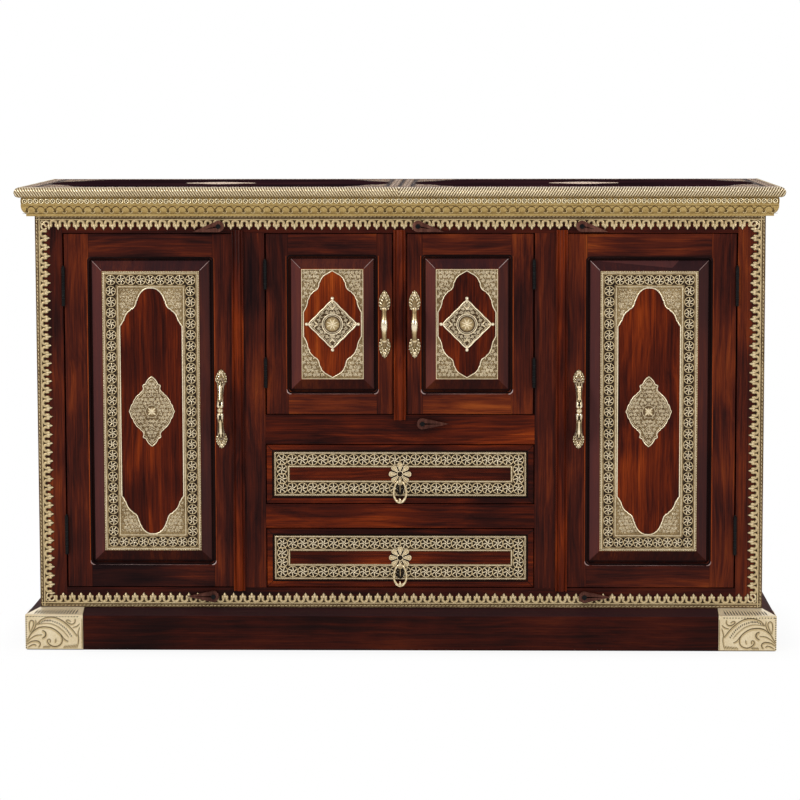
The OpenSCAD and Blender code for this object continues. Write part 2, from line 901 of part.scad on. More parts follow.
// Leaf at the end of a handle: from its root at the height z up to its point
function leaf_outline(w, z, l) =
    let (
        root = [w * 0.5, z], cheek = [w, z + l * 0.42],
        neck = [w * 0.55, z + l * 0.72], tip = [0, z + l],
        right = concat(bow(root, cheek, -1, 3), bow(cheek, neck, -0.8, 3), bow(neck, tip, 0.6, 3))
    )
        concat(right, [tip], tail(flip_x(right)));

module pull(l) {
    post = l / 2 - pull_leaf_l * 0.62;
    bend_r = (post * post + pull_rise * pull_rise) / (2 * pull_rise);
    half = asin(post / bend_r);
    for (s = [0, 1]) mirror([0, 0, s])
        face(0, pull_leaf_t) polygon(leaf_outline(pull_leaf_w, l / 2 - pull_leaf_l, pull_leaf_l));
    difference() {
        translate([0, bend_r - pull_rise, 0]) rotate([0, 90, 0]) rotate([0, 0, -90 - half])
            rotate_extrude(angle = 2 * half) translate([bend_r, 0]) circle(bar_r);
        span([-2 * bar_r, 0, -l], [2 * bar_r, 2 * bend_r, l]);
    }
    translate([0, -pull_rise, 0]) rotate_extrude() polygon([
        [0, -17], [bar_r, -17], [bar_r + 1.6, -9], [bar_r + 0.6, -5], [bar_r + 2.6, -3],
        [bar_r + 2.6, 3], [bar_r + 0.6, 5], [bar_r + 1.6, 9], [bar_r, 17], [0, 17]
    ]);
}

tall_pull_x = tall_a[0] + tall_stile_w / 2 + tall_pull_in;
small_pull_x = small_a[0] + small_free_w / 2;
module tall_handle() {
    color(BRASS) translate([tall_pull_x, front_y, tall_a[1] + tall_pull_up]) pull(tall_pull_l);
}

module small_handle() {
    color(BRASS) translate([small_pull_x, front_y, (small_a[1] + small_b[1]) / 2])
        pull(small_pull_l);
}

// The strip on a tall door hides the gap beside it and stays clear of stile and rails
module door_strip() {
    z0 = open_z - strip_lap;
    z1 = open_top_z + strip_lap;
    x = tall_x0 - strip_w / 2;
    y = front_y - seat_gap;
    color(WOOD_DARK) difference() {
        translate([tall_x0, 0, 0]) reeded_strip(z0, z1);
        span([x - cut, y, z0 - cut], [tall_a[0], front_y + cut, z1 + cut]);
        span([x, y, z0 - cut], [x + strip_w + cut, front_y + cut, tall_a[1]]);
        span([x, y, tall_b[1]], [x + strip_w + cut, front_y + cut, z1 + cut]);
    }
}

// Drawers, with the lower edge of their opening at z

module drawer_front(z) {
    x = centre_x - drawer_gap;
    z0 = z + drawer_gap;
    z1 = z + drawer_h - drawer_gap;
    color(WOOD) difference() {
        span([-x, front_y, z0], [x, front_y + front_t, z1]);
        span(
            [lip_w - x, front_y - cut, z0 + lip_w],
            [x - lip_w, front_y + sunk_t, z1 - lip_w]
        );
    }
}

module drawer_box(z) {
    z0 = z + box_up;
    bottom_z = z0 + box_bottom_up;
    color(WOOD_INNER) {
        both() span([side_x, box_y0, z0], [side_x + box_t, box_y1, z0 + box_h]);
        span([-side_x, box_y1 - box_t, z0], [side_x, box_y1, z0 + box_h]);
        span([-side_x, box_y0, bottom_z], [side_x, box_y1 - box_t, bottom_z + box_bottom_t]);
    }
}

// Brass frame in the sunk field, and the rosette with the ring's hanger on it
module drawer_brass(z) {
    a = [drawer_gap + lip_w + 1 - centre_x, z + drawer_gap + lip_w + 1];
    b = [-a[0], z + drawer_h - drawer_gap - lip_w - 1];
    band = [drawer_band_w, drawer_band_w];
    y = front_y + sunk_t;
    color(BRASS) {
        face(y, sheet_t) difference() {
            translate(a) square(b - a);
            translate(a + band) square(b - a - 2 * band);
        }
        translate([0, y - sheet_t, z + drawer_h / 2]) rosette();
    }
}

module rosette() {
    face(0, rosette_t) {
        circle(petal_at);
        for (i = [0:petals - 1]) rotate(i * 360 / petals) translate([0, petal_at]) circle(petal_r);
    }
    face(-rosette_t, 2) circle(petal_at * 0.55);
    ear_r = wire_r + 2.6;
    translate([-1.5, 0, -hanger_down]) rotate([90, 0, 90]) linear_extrude(3) difference() {
        union() {
            translate([-hanger_out, 0]) circle(ear_r);
            translate([-hanger_out, -ear_r]) square([hanger_out - rosette_t, 2 * ear_r]);
        }
        translate([-hanger_out, 0]) circle(wire_r + 0.5);
    }
}

// Long ring of round wire that hangs from the rosette
module drawer_ring(z) {
    r = ring_w / 2 - wire_r;
    run = ring_h - ring_w;
    y = front_y + sunk_t - sheet_t - hanger_out;
    top = z + drawer_h / 2 - hanger_down - r;
    color(BRASS) translate([0, y, top]) {
        rotate([90, 0, 0]) rotate_extrude(angle = 180) translate([r, 0]) circle(wire_r);
        for (s = [-1, 1]) translate([s * r, 0, -run]) cylinder(r = wire_r, h = run);
        translate([0, 0, -run]) rotate([90, 180, 0])
            rotate_extrude(angle = 180) translate([r, 0]) circle(wire_r);
    }
}

// Turn buttons: a drop of wood on a screw, its point in the direction of turn

module button(x, z, turn) {
    lean = acos(button_r / button_l);
    steps = 24;
    round_end = [for (i = [0:steps])
        let (a = lean + (360 - 2 * lean) * i / steps) button_r * [cos(a), sin(a)]];
    color(WOOD_DARK) translate([x, 0, z]) rotate([0, -turn, 0]) difference() {
        face(button_y, button_t) polygon(concat([[button_l, 0]], round_end));
        translate([0, button_y + cut, 0]) rotate([90, 0, 0])
            cylinder(r = screw_r + pin_fit, h = button_t + 2 * cut);
    }
}

// A shouldered screw: the collar keeps the turn button off the brass
module button_screw(x, z) {
    translate([x, front_y, z]) rotate([90, 0, 0]) {
        translate([0, 0, -screw_deep]) cylinder(r = screw_r, h = screw_deep);
        cylinder(r = collar_r, h = front_y - button_y - 0.2);
        cylinder(r = screw_r, h = front_y - button_y + button_t + 0.4);
        translate([0, 0, front_y - button_y + button_t + 0.3]) cylinder(r = head_r, h = 1.8);
    }
}

module button_screws() {
    color(IRON) {
        for (x = [left_top_x, mid_top_x, right_top_x]) button_screw(x, top_button_z);
        for (x = [left_low_x, right_low_x]) button_screw(x, low_button_z);
        button_screw(mid_low_x, mid_button_z);
    }
}

plinth_front();
plinth_sides();
plinth_back();
plinth_corners();
flat_panels();
side_panels();
dividers();
back_panel();
shelves();
outer_stiles();
mullions();
main_rails();
centre_rails();
centre_strip();
cornice();
top_board();
edge_brass();
top_brass();
borders();
battens();
drawer_guides();
hinge_leaves();
hinge_pins();
button_screws();
mirror([1, 0, 0]) door_frame(tall_a, tall_b, tall_c, tall_d);  // left_door_frame
mirror([1, 0, 0]) door_panel(tall_c, tall_d);  // left_door_panel
mirror([1, 0, 0]) door_strip();  // left_door_strip
mirror([1, 0, 0]) tall_brass();  // left_door_brass
mirror([1, 0, 0]) tall_handle();  // left_door_handle
mirror([1, 0, 0]) tall_door_hinges();  // left_door_hinges
door_frame(tall_a, tall_b, tall_c, tall_d);  // right_door_frame
door_panel(tall_c, tall_d);  // right_door_panel
door_strip();  // right_door_strip
tall_brass();  // right_door_brass
tall_handle();  // right_door_handle
tall_door_hinges();  // right_door_hinges
mirror([1, 0, 0]) door_frame(small_a, small_b, small_c, small_d);  // small_left_frame
mirror([1, 0, 0]) door_panel(small_c, small_d);  // small_left_panel
mirror([1, 0, 0]) small_brass();  // small_left_brass
mirror([1, 0, 0]) small_handle();  // small_left_handle
mirror([1, 0, 0]) small_door_hinges();  // small_left_hinges
door_frame(small_a, small_b, small_c, small_d);  // small_right_frame
door_panel(small_c, small_d);  // small_right_panel
small_brass();  // small_right_brass
small_handle();  // small_right_handle
small_door_hinges();  // small_right_hinges
drawer_front(up_drawer_z);  // upper_drawer_front
drawer_box(up_drawer_z);  // upper_drawer_box
drawer_brass(up_drawer_z);  // upper_drawer_brass
drawer_ring(up_drawer_z);  // upper_drawer_ring
drawer_front(low_drawer_z);  // lower_drawer_front
drawer_box(low_drawer_z);  // lower_drawer_box
drawer_brass(low_drawer_z);  // lower_drawer_brass
drawer_ring(low_drawer_z);  // lower_drawer_ring
button(left_top_x, top_button_z, 180 + button_tilt);  // top_button_left
button(mid_top_x, top_button_z, -button_tilt);  // top_button_middle
button(right_top_x, top_button_z, -button_tilt);  // top_button_right
button(left_low_x, low_button_z, 180);  // low_button_left
button(mid_low_x, mid_button_z, 0);  // low_button_middle
button(right_low_x, low_button_z, 0);  // low_button_right
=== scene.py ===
import math
import random

import bpy
import numpy as np
from mathutils import Matrix, Vector
from mathutils.geometry import tessellate_polygon

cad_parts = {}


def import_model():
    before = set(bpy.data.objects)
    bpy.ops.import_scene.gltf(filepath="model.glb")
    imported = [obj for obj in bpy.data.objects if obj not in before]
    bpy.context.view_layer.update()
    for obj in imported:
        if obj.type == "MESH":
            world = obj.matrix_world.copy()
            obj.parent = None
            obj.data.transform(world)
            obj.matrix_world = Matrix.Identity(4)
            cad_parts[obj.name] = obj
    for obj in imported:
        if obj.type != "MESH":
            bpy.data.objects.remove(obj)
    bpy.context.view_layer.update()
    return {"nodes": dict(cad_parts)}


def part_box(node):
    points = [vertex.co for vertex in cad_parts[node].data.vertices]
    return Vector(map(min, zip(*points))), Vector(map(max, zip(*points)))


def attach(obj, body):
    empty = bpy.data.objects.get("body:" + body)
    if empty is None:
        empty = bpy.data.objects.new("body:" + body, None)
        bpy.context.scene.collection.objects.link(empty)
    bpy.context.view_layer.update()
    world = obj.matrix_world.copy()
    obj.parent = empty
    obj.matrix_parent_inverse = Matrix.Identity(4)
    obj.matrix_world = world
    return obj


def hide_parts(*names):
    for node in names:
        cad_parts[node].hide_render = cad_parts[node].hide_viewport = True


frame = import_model()
MM = 0.001
X, Y, Z = 0, 1, 2


# Helpers

def lin(hex_colour):
    """A colour written as sRGB hex, in linear light."""
    out = []
    for i in (1, 3, 5):
        c = int(hex_colour[i:i + 2], 16) / 255
        out.append(c / 12.92 if c <= 0.04045 else ((c + 0.055) / 1.055) ** 2.4)
    return (*out, 1.0)


def spans(node):
    """Low corner, high corner, middle and half sizes of a CAD node, in millimetres."""
    low, high = (np.array(corner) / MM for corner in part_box(node))
    return low, high, (low + high) / 2, (high - low) / 2


def arc(r, start, end, n, centre=(0, 0)):
    """Points on a circle, or with two radii on an ellipse, between two angles in degrees."""
    a = np.radians(np.linspace(start, end, n))
    return np.stack([np.cos(a), np.sin(a)], 1) * r + centre


def circle(r, n, centre=(0, 0)):
    """Points round a whole circle or ellipse."""
    return arc(r, 0, 360, n + 1, centre)[:-1]


def polar(r, degrees):
    """The point at a distance and an angle from the middle."""
    return arc(r, degrees, degrees, 1)[0]


def level_line(low, high, n, v):
    """Points along a line of one height v."""
    return np.stack([np.linspace(low, high, n), np.full(n, v)], 1)


class Shader:
    """The node tree of a material or a world, built from calls that return sockets."""

    def __init__(self, owner):
        owner.use_nodes = True
        self.owner, self.tree = owner, owner.node_tree
        self.tree.nodes.clear()
        places = self.node("ShaderNodeTexCoord").outputs
        self.coords, self.facing, self.generated = places["Object"], places["Normal"], places["Generated"]

    def node(self, kind, inputs=(), **settings):
        """A node with its settings. An input is a socket, a constant or a hex colour."""
        n = self.tree.nodes.new(kind)
        for key, value in settings.items():
            setattr(n, key, value)
        for key, value in dict(inputs).items():
            if isinstance(value, bpy.types.NodeSocket):
                self.tree.links.new(value, n.inputs[key])
            else:
                n.inputs[key].default_value = lin(value) if isinstance(value, str) else value
        return n

    def math(self, op, a, b=0.0, clamp=False):
        return self.node("ShaderNodeMath", {0: a, 1: b}, operation=op, use_clamp=clamp).outputs[0]

    def vector(self, op, a, b):
        return self.node("ShaderNodeVectorMath", {0: a, 1: b}, operation=op).outputs[0]

    def split(self, vector):
        return self.node("ShaderNodeSeparateXYZ", {0: vector}).outputs

    def mapping(self, vector, scale, offset):
        inputs = {"Vector": vector, "Scale": scale, "Location": offset}
        return self.node("ShaderNodeMapping", inputs).outputs[0]

    def noise(self, vector, scale, detail, rough=0.55, result="Fac"):
        inputs = {"Vector": vector, "Scale": scale, "Detail": detail, "Roughness": rough}
        return self.node("ShaderNodeTexNoise", inputs).outputs[result]

    def ramp(self, factor, stops):
        """Colours between stops, each a place and a hex colour."""
        n = self.node("ShaderNodeValToRGB", {0: factor})
        elements = n.color_ramp.elements
        while len(elements) < len(stops):
            elements.new(0.5)
        for e, (place, colour) in zip(elements, stops):
            e.position = place
            e.color = lin(colour)
        return n.outputs[0]

    def mix(self, factor, a, b):
        """Two colours: they are the mix node's inputs 6 and 7, and its output 2."""
        return self.node("ShaderNodeMix", {0: factor, 6: a, 7: b}, data_type="RGBA").outputs[2]

    def mix_vectors(self, factor, a, b):
        """Two vectors: they are the mix node's inputs 4 and 5, and its output 1."""
        return self.node("ShaderNodeMix", {0: factor, 4: a, 5: b}, data_type="VECTOR").outputs[1]

    def span(self, value, low, high, new_low, new_high, kind="LINEAR"):
        inputs = {"Value": value, "From Min": low, "From Max": high, "To Min": new_low, "To Max": new_high}
        return self.node("ShaderNodeMapRange", inputs, interpolation_type=kind).outputs[0]

    def outside(self, value, middle, half):
        """How far a value lies past a half width from a middle, below 0 inside it."""
        distance = self.math("ABSOLUTE", self.math("SUBTRACT", value, middle))
        return self.math("SUBTRACT", distance, half)

    def sway(self, value, part, weight, clamp=False):
        """A value moved by a noise about one half, times a weight."""
        moved = self.math("MULTIPLY", self.math("SUBTRACT", part, 0.5), weight)
        return self.math("ADD", moved, value, clamp)

    def bump(self, height, distance, strength):
        inputs = {"Strength": strength, "Distance": distance, "Height": height}
        return self.node("ShaderNodeBump", inputs).outputs[0]

    def close(self, kind, shader):
        """Ends the tree in its output node, and gives the material or world."""
        self.node(kind, {0: shader.outputs[0]})
        return self.owner

    def finish(self, **inputs):
        """Ends a material in one surface shader with these inputs."""
        inputs = {key.replace("_", " "): value for key, value in inputs.items()}
        return self.close("ShaderNodeOutputMaterial", self.node("ShaderNodeBsdfPrincipled", inputs))


# Materials

ROSEWOOD = ((0.0, "#140706"), (0.26, "#2c0e09"), (0.50, "#4a180a"), (0.74, "#6c270b"), (1.0, "#903f13"))
ROSEWOOD_DARK = ((0.0, "#120707"), (0.30, "#220c09"), (0.55, "#37120b"), (0.78, "#461a0d"), (1.0, "#551f0e"))
FRAME_WOOD = ((0.0, "#140809"), (0.26, "#28100d"), (0.50, "#41180f"), (0.74, "#5f2611"), (1.0, "#823d17"))
# Painted shade: near-black wood for the beads in the grooves round panels and drawer lips
BEAD_SHADE = ((0.0, "#0a0404"), (0.6, "#140807"), (1.0, "#201010"))
# The top's dark rosewood with a purple-grey painted reflection in its colour; it gets no specular of its own
TOP_WOOD_SHEEN = ((0.0, "#140b0d"), (0.40, "#231318"), (0.70, "#301a1e"), (1.0, "#432627"))
# Painted highlight: pale wood for the bright lines on the mitres and round a panel's lower corners
MITRE_HIGHLIGHT = ((0.0, "#6f5752"), (0.5, "#957b75"), (1.0, "#bda8a3"))
BUTTON_WOOD = ((0.0, "#2e1914"), (0.35, "#482a22"), (0.65, "#603d32"), (1.0, "#7a5144"))
# Painted highlight: the lit edges of the frame beside a panel
LIT_EDGE = ((0.0, "#5a2410"), (0.5, "#7a3314"), (1.0, "#9c4519"))
PLAIN_WOOD = ((0.0, "#4b2c1b"), (0.30, "#6b432a"), (0.55, "#805537"), (0.80, "#93674a"), (1.0, "#a37a58"))
# Painted light on a panel's slopes by the way they face: purple-grey painted reflection on the right and top,
# painted light on the left, painted shade below
BEVEL_SIDE_SHEEN, BEVEL_LEFT_LIGHT, BEVEL_TOP_SHEEN, BEVEL_LOW_SHADE = "#35201f", "#4a2b2a", "#2d1b1d", "#1b0a09"
PORE, JOINT, GROOVE_SHADE = "#0f0504", "#0c0403", "#0f0606"


def wood(name, grain, stops, seed, rails=None, bevel=None,
         gloss=0.26, shift=0.0, shine=0.045, level_shift=0.0):
    """Polished wood with its grain along one axis. Between the two X values of rails the grain
    lies level, as in the rails of a door. bevel gives the middle and the half sizes in X and Z
    past which a panel is painted dark as the shade of its groove, and inside that its slopes get
    painted light by the way they face: a painted reflection on the right and top slopes, painted
    light on the left slope and painted shade on the lower slope."""
    s = Shader(bpy.data.materials.new(name))
    reach = 0.07  # how far the grain wanders, in metres
    wander = s.noise(s.mapping(s.coords, (1, 1, 1), (seed, seed * 0.7, 0)), 3.2, 2.0, 0.5, "Color")
    wander = s.vector("MULTIPLY", s.vector("SUBTRACT", wander, (0.5, 0.5, 0.5)), (reach, reach, reach))
    warped = s.vector("ADD", s.coords, wander)

    def stretched(vector, axis, across, along, place):
        scale = [across] * 3
        scale[axis] = along
        return s.mapping(vector, scale, (place, place * 1.7 + 0.3, place * 0.6 + 0.9))

    def layer(vector, across, along, offset, detail, rough=0.6):
        """Noise with its own scale across the grain and along it, from its own place."""
        drawn = stretched(vector, grain, across, along, seed + offset)
        if rails is not None:
            level = stretched(vector, X, across, along, seed + offset + 5.0)
            drawn = s.mix_vectors(between, drawn, level)
        return s.noise(drawn, 1.0, detail, rough)

    if rails is not None:
        x = s.split(s.coords)[X]
        past = s.math("GREATER_THAN", x, rails[0])
        between = s.math("MULTIPLY", past, s.math("LESS_THAN", x, rails[1]))
        gaps = [s.math("ABSOLUTE", s.math("SUBTRACT", x, r)) for r in rails]
        joint = s.math("LESS_THAN", s.math("MINIMUM", *gaps), 0.4 * MM)
    flame = layer(warped, 16.0, 1.6, 0.0, 3.0)
    streak = layer(warped, 95.0, 2.2, 3.1, 5.0, 0.65)
    fibre = layer(s.coords, 330.0, 6.0, 4.3, 3.0)
    pores = layer(s.coords, 620.0, 20.0, 7.7, 2.0)
    cloud = s.noise(s.mapping(s.coords, (1, 1, 1), (seed * 3.3, 0, seed)), 5.0, 2.0, 0.5)
    value = 0.5 + shift
    for part, weight in ((flame, 1.1), (streak, 0.95), (fibre, 0.75), (cloud, 1.1)):
        value = s.sway(value, part, weight)
    if rails is not None:
        value = s.math("ADD", value, s.math("MULTIPLY", between, level_shift))
    value = s.math("MAXIMUM", s.math("MINIMUM", value, 1.0), 0.0)
    colour = s.ramp(value, stops)
    pore = s.span(pores, 0.30, 0.42, 1.0, 0.0)
    colour = s.mix(s.math("MULTIPLY", pore, 0.5, True), colour, PORE)
    if rails is not None:
        colour = s.mix(s.math("MULTIPLY", joint, 0.7), colour, JOINT)
    if bevel is not None:
        mid_x, mid_z, half_x, half_z = bevel
        place, facing = s.split(s.coords), s.split(s.facing)
        past = s.math("MAXIMUM", s.outside(place[X], mid_x, half_x), s.outside(place[Z], mid_z, half_z))
        # painted shade: the panel past the groove line is darkened as the shade of its groove
        groove_shade_mask = s.math("GREATER_THAN", past, 0.0)
        tilted = s.math("LESS_THAN", s.math("ABSOLUTE", facing[Y]), 0.99)
        # painted light by facing: reflection on right and top slopes, light on the left slope, shade on the
        # lower one
        slope_light = s.mix(s.math("GREATER_THAN", facing[Z], 0.05), BEVEL_SIDE_SHEEN, BEVEL_TOP_SHEEN)
        slope_light = s.mix(s.math("LESS_THAN", facing[X], -0.05), slope_light, BEVEL_LEFT_LIGHT)
        slope_light = s.mix(s.math("LESS_THAN", facing[Z], -0.05), slope_light, BEVEL_LOW_SHADE)
        colour = s.mix(s.math("MULTIPLY", tilted, 0.8), colour, slope_light)
        colour = s.mix(s.math("MULTIPLY", groove_shade_mask, 0.85), colour, GROOVE_SHADE)
    height = s.math("SUBTRACT", s.math("MULTIPLY", streak, 0.35), s.math("MULTIPLY", pore, 0.5))
    return s.finish(
        Base_Color=colour, Roughness=s.span(streak, 0.3, 0.7, gloss, gloss + 0.12),
        Specular_IOR_Level=shine, Normal=s.bump(height, 0.3 * MM, 0.5))


# The pale top stops of these ramps are painted highlights, reached by the bright tones of crests
BRASS = ((0.0, "#1a120a"), (0.18, "#523e27"), (0.42, "#a99268"), (0.68, "#d4bf95"), (1.0, "#f8ecd0"))
BRASS_GOLD = ((0.0, "#1c140a"), (0.18, "#5a4423"), (0.42, "#a48851"), (0.68, "#cdb47a"), (1.0, "#f5e6c0"))
# The top's brass: the same brass as the fronts, painted darker as painted shade and pinker as a painted
# reflection
BRASS_TOP_SHADE_SHEEN = ((0.0, "#1a0f0c"), (0.30, "#33221b"), (0.55, "#67503f"), (0.80, "#b89c80"), (1.0, "#e6ceb6"))


def brass(name, stops=BRASS, level=None, grain=1.0, rough=0.30, bare=(0.25, 0.68)):
    """Brass with its colour set by the mesh's own relief value, which carries patina in the hollows
    as well as painted shade at the feet and painted highlights on the crests: that value sets how
    bright and how bare it is. A level takes the place of that value on a plain piece, and bare is
    how metallic it is at both ends."""
    s = Shader(bpy.data.materials.new(name))
    relief = level
    if level is None:
        relief = s.node("ShaderNodeAttribute", attribute_name="relief").outputs["Fac"]
    patina = s.noise(s.coords, 24.0 * grain, 4.0, 0.6)
    speck = s.noise(s.coords, 420.0 * grain, 3.0, 0.6)
    value = s.sway(s.sway(relief, patina, 0.25), speck, 0.45, clamp=True)
    return s.finish(
        Base_Color=s.ramp(value, stops), Metallic=s.span(value, 0.10, 0.6, *bare),
        Roughness=s.span(value, 0.1, 0.9, rough + 0.22, rough), Specular_IOR_Level=0.12,
        Normal=s.bump(speck, 0.25 * MM, 0.45))


def iron(name):
    s = Shader(bpy.data.materials.new(name))
    worn = s.noise(s.coords, 160.0, 4.0, 0.6)
    return s.finish(
        Base_Color=s.ramp(worn, ((0.35, "#060606"), (0.62, "#0f1010"), (0.80, "#2b2a28"))), Metallic=0.75,
        Roughness=s.span(worn, 0.3, 0.7, 0.34, 0.52), Normal=s.bump(worn, 0.3 * MM, 0.4))


SHEET = brass("brass_sheet")
SHEET_TOP_SHADE_SHEEN = brass("brass_sheet_top_shade_sheen", BRASS_TOP_SHADE_SHEEN, rough=0.5, bare=(0.0, 0.2))
CAST = brass("brass_cast", rough=0.24, grain=0.8, bare=(0.4, 0.85))
GOLD = brass("brass_gold", BRASS_GOLD)
PLATE = brass("brass_plate", BRASS_GOLD, level=0.47)
CORNER_PLATE = brass("brass_corner_plate", level=0.77, rough=0.34)
IRON = iron("black_iron")


def paint(node, material, soften=0.0):
    """Gives a CAD node its material, and its edges a small round in millimetres."""
    o = frame["nodes"][node]
    o.data.materials.clear()
    o.data.materials.append(material)
    if soften:
        weld = o.modifiers.new("weld", "WELD")
        weld.merge_threshold = 0.01 * MM
        edge = o.modifiers.new("edge", "BEVEL")
        edge.width = soften * MM
        edge.segments = 2
        edge.limit_method = "ANGLE"
        edge.angle_limit = math.radians(35)


# Raised work

BAR_SIDE = np.array([0.5, 0.36, 0.0, -0.36, -0.5])
BAR_UP = np.array([0.0, 0.72, 1.0, 0.72, 0.0])
DOME_STEPS = ((1.0, 0.0), (0.72, 0.66), (0.36, 0.93))
# Tones of a light foot and of a crest with a painted highlight
CREST_HIGHLIGHT = (0.4, 1.0)


class Relief:
    """Raised work on a surface, in millimetres: u along it, v up it, h out of it. A tone says how
    dark or bright the brass is, and a pair of tones gives that of the foot and of the crest. The
    dark of a foot is partly patina in the hollows and partly painted shade; the bright of a crest
    is a painted highlight."""

    def __init__(self):
        self.verts, self.faces, self.tones, self.smooth = [], [], [], []
        self.count = 0

    def add(self, verts, faces, tones, smooth=True):
        verts = np.asarray(verts, float)
        self.verts.append(verts)
        self.tones.append(np.broadcast_to(np.asarray(tones, float), (len(verts),)))
        for f in faces:
            self.faces.append(tuple(int(i) + self.count for i in f))
        self.smooth += [smooth] * len(faces)
        self.count += len(verts)

    def strip(self, rows, tones, closed=False):
        """A skin through rows of points, each row as long as the next."""
        rows = np.asarray(rows, float)
        n, m = rows.shape[:2]
        ends = n if closed else n - 1
        faces = [(i * m + j, i * m + j + 1, (i + 1) % n * m + j + 1, (i + 1) % n * m + j)
                 for i in range(ends) for j in range(m - 1)]
        tones = np.broadcast_to(np.asarray(tones, float), (n, m)).reshape(-1)
        self.add(rows.reshape(-1, 3), faces, tones)

    def ridge(self, points, width, height, base=0.0, closed=False, taper=0.0, tone=(0.2, 1.0)):
        """A round bar half sunk in the surface, along a line of points."""
        p = np.asarray(points, float)
        d = np.roll(p, -1, 0) - np.roll(p, 1, 0) if closed else np.gradient(p, axis=0)
        d /= np.maximum(np.linalg.norm(d, axis=1, keepdims=True), 1e-9)
        side = np.stack([-d[:, 1], d[:, 0]], 1)
        thin = 1 - taper * np.abs(np.linspace(-1, 1, len(p))) ** 2.2
        rows = np.zeros((len(p), len(BAR_SIDE), 3))
        rows[:, :, :2] = p[:, None] + side[:, None] * (BAR_SIDE * width)[:, None] * thin[:, None, None]
        rows[:, :, 2] = base + BAR_UP * height * (0.4 + 0.6 * thin[:, None])
        low, high = tone
        self.strip(rows, low + (high - low) * BAR_UP ** 1.5, closed)

    def dome(self, centre, r, height, base=0.0, sides=10, tone=(0.35, 1.0)):
        rings = [np.column_stack([circle(r * k, sides, centre), np.full(sides, base + height * h)])
                 for k, h in DOME_STEPS]
        verts = np.concatenate(rings + [[(*centre, base + height)]])
        faces = [(i + j, i + (j + 1) % sides, i + sides + (j + 1) % sides, i + sides + j)
                 for i in (0, sides) for j in range(sides)]
        last, top = 2 * sides, 3 * sides
        faces += [(last + j, last + (j + 1) % sides, top) for j in range(sides)]
        low, high = tone
        tones = [low + (high - low) * h for _, h in DOME_STEPS for _ in range(sides)] + [high]
        self.add(verts, faces, tones)

    def loop(self, points, width, height, base=0.0, tone=(0.2, 1.0)):
        """A ridge along a closed line."""
        self.ridge(points, width, height, base, closed=True, tone=tone)

    def ring(self, centre, r, width, height, base=0.0, sides=20, tone=(0.2, 1.0)):
        self.loop(circle(r, sides, centre), width, height, base, tone)

    def leaf(self, start, angle, length, width, height, base=0.0, bend=0.0, steps=6, tone=(0.3, 1.0)):
        """An almond with a crease, from its root along an angle in degrees."""
        t = np.linspace(0, 1, steps)
        d = polar(1, angle)
        side = np.array([-d[1], d[0]])
        mid = np.asarray(start) + np.outer(t * length, d)
        mid = mid + np.outer(bend * length * np.sin(np.pi * t * 0.5) ** 2, side)
        half = width / 2 * np.sin(np.pi * np.clip(t, 0.02, 0.985) ** 0.8)
        rows = np.full((steps, 3, 3), base, float)
        for i, across in enumerate((1, 0, -1)):
            rows[:, i, :2] = mid + across * half[:, None] * side
        rows[:, 1, 2] += height * (0.3 + 0.7 * np.sin(np.pi * t))
        low, high = tone
        self.strip(rows, (low, high, low))

    def sheet(self, outer, holes=(), low=0.0, high=1.0, tone=0.3, edge=0.7):
        """A flat sheet with its edges, cut by holes."""
        loops = [np.asarray(outer, float)] + [np.asarray(h, float) for h in holes]
        for i, loop in enumerate(loops):
            x, y = loop[:, 0], loop[:, 1]
            area = np.sum(x * np.roll(y, -1) - np.roll(x, -1) * y)
            if (area > 0) != (i == 0):
                loops[i] = loop[::-1]
        flat = np.concatenate(loops)
        faces = []
        for a, b, c in tessellate_polygon([[Vector((*p, 0)) for p in loop] for loop in loops]):
            u, v = flat[b] - flat[a], flat[c] - flat[a]
            faces.append((a, b, c) if u[0] * v[1] - u[1] * v[0] > 0 else (a, c, b))
        self.add(np.column_stack([flat, np.full(len(flat), high)]), faces, tone, False)
        for loop in loops:
            n = len(loop)
            verts = np.column_stack([np.tile(loop, (2, 1)), np.repeat([low, high], n)])
            self.add(verts, [(i, (i + 1) % n, n + (i + 1) % n, n + i) for i in range(n)], edge, False)

    def join(self, other, verts, turned, dim=1.0):
        """Other work on points of its own, its faces turned over where it was mirrored."""
        self.verts.append(verts)
        self.tones.append(np.concatenate(other.tones) * dim)
        for f in other.faces:
            self.faces.append(tuple(i + self.count for i in (f[::-1] if turned else f)))
        self.smooth += other.smooth
        self.count += len(verts)
        return self

    def stamp(self, other, place=(0, 0), turn=0.0, size=1.0, base=0.0, flip=False, dim=1.0):
        """Other work, set down on the same surface; dim makes its tones darker or brighter."""
        v = np.concatenate(other.verts)
        x, y = v[:, 0] * (-size if flip else size), v[:, 1] * size
        c, s = polar(1, turn)
        self.join(other, np.stack([x * c - y * s + place[0], x * s + y * c + place[1], v[:, 2] + base], 1),
                  flip, dim)

    def put(self, other, place):
        """Other work, set down through a change of coordinates."""
        v = np.concatenate(other.verts)
        step = 0.01
        probe = [np.array(place(*(np.array([k]) for k in q))).reshape(3)
                 for q in ((0, 0, 0), (step, 0, 0), (0, step, 0), (0, 0, step))]
        turned = np.linalg.det(np.array([q - probe[0] for q in probe[1:]])) < 0
        return self.join(other, np.stack(np.broadcast_arrays(*place(*v.T)), 1), turned)

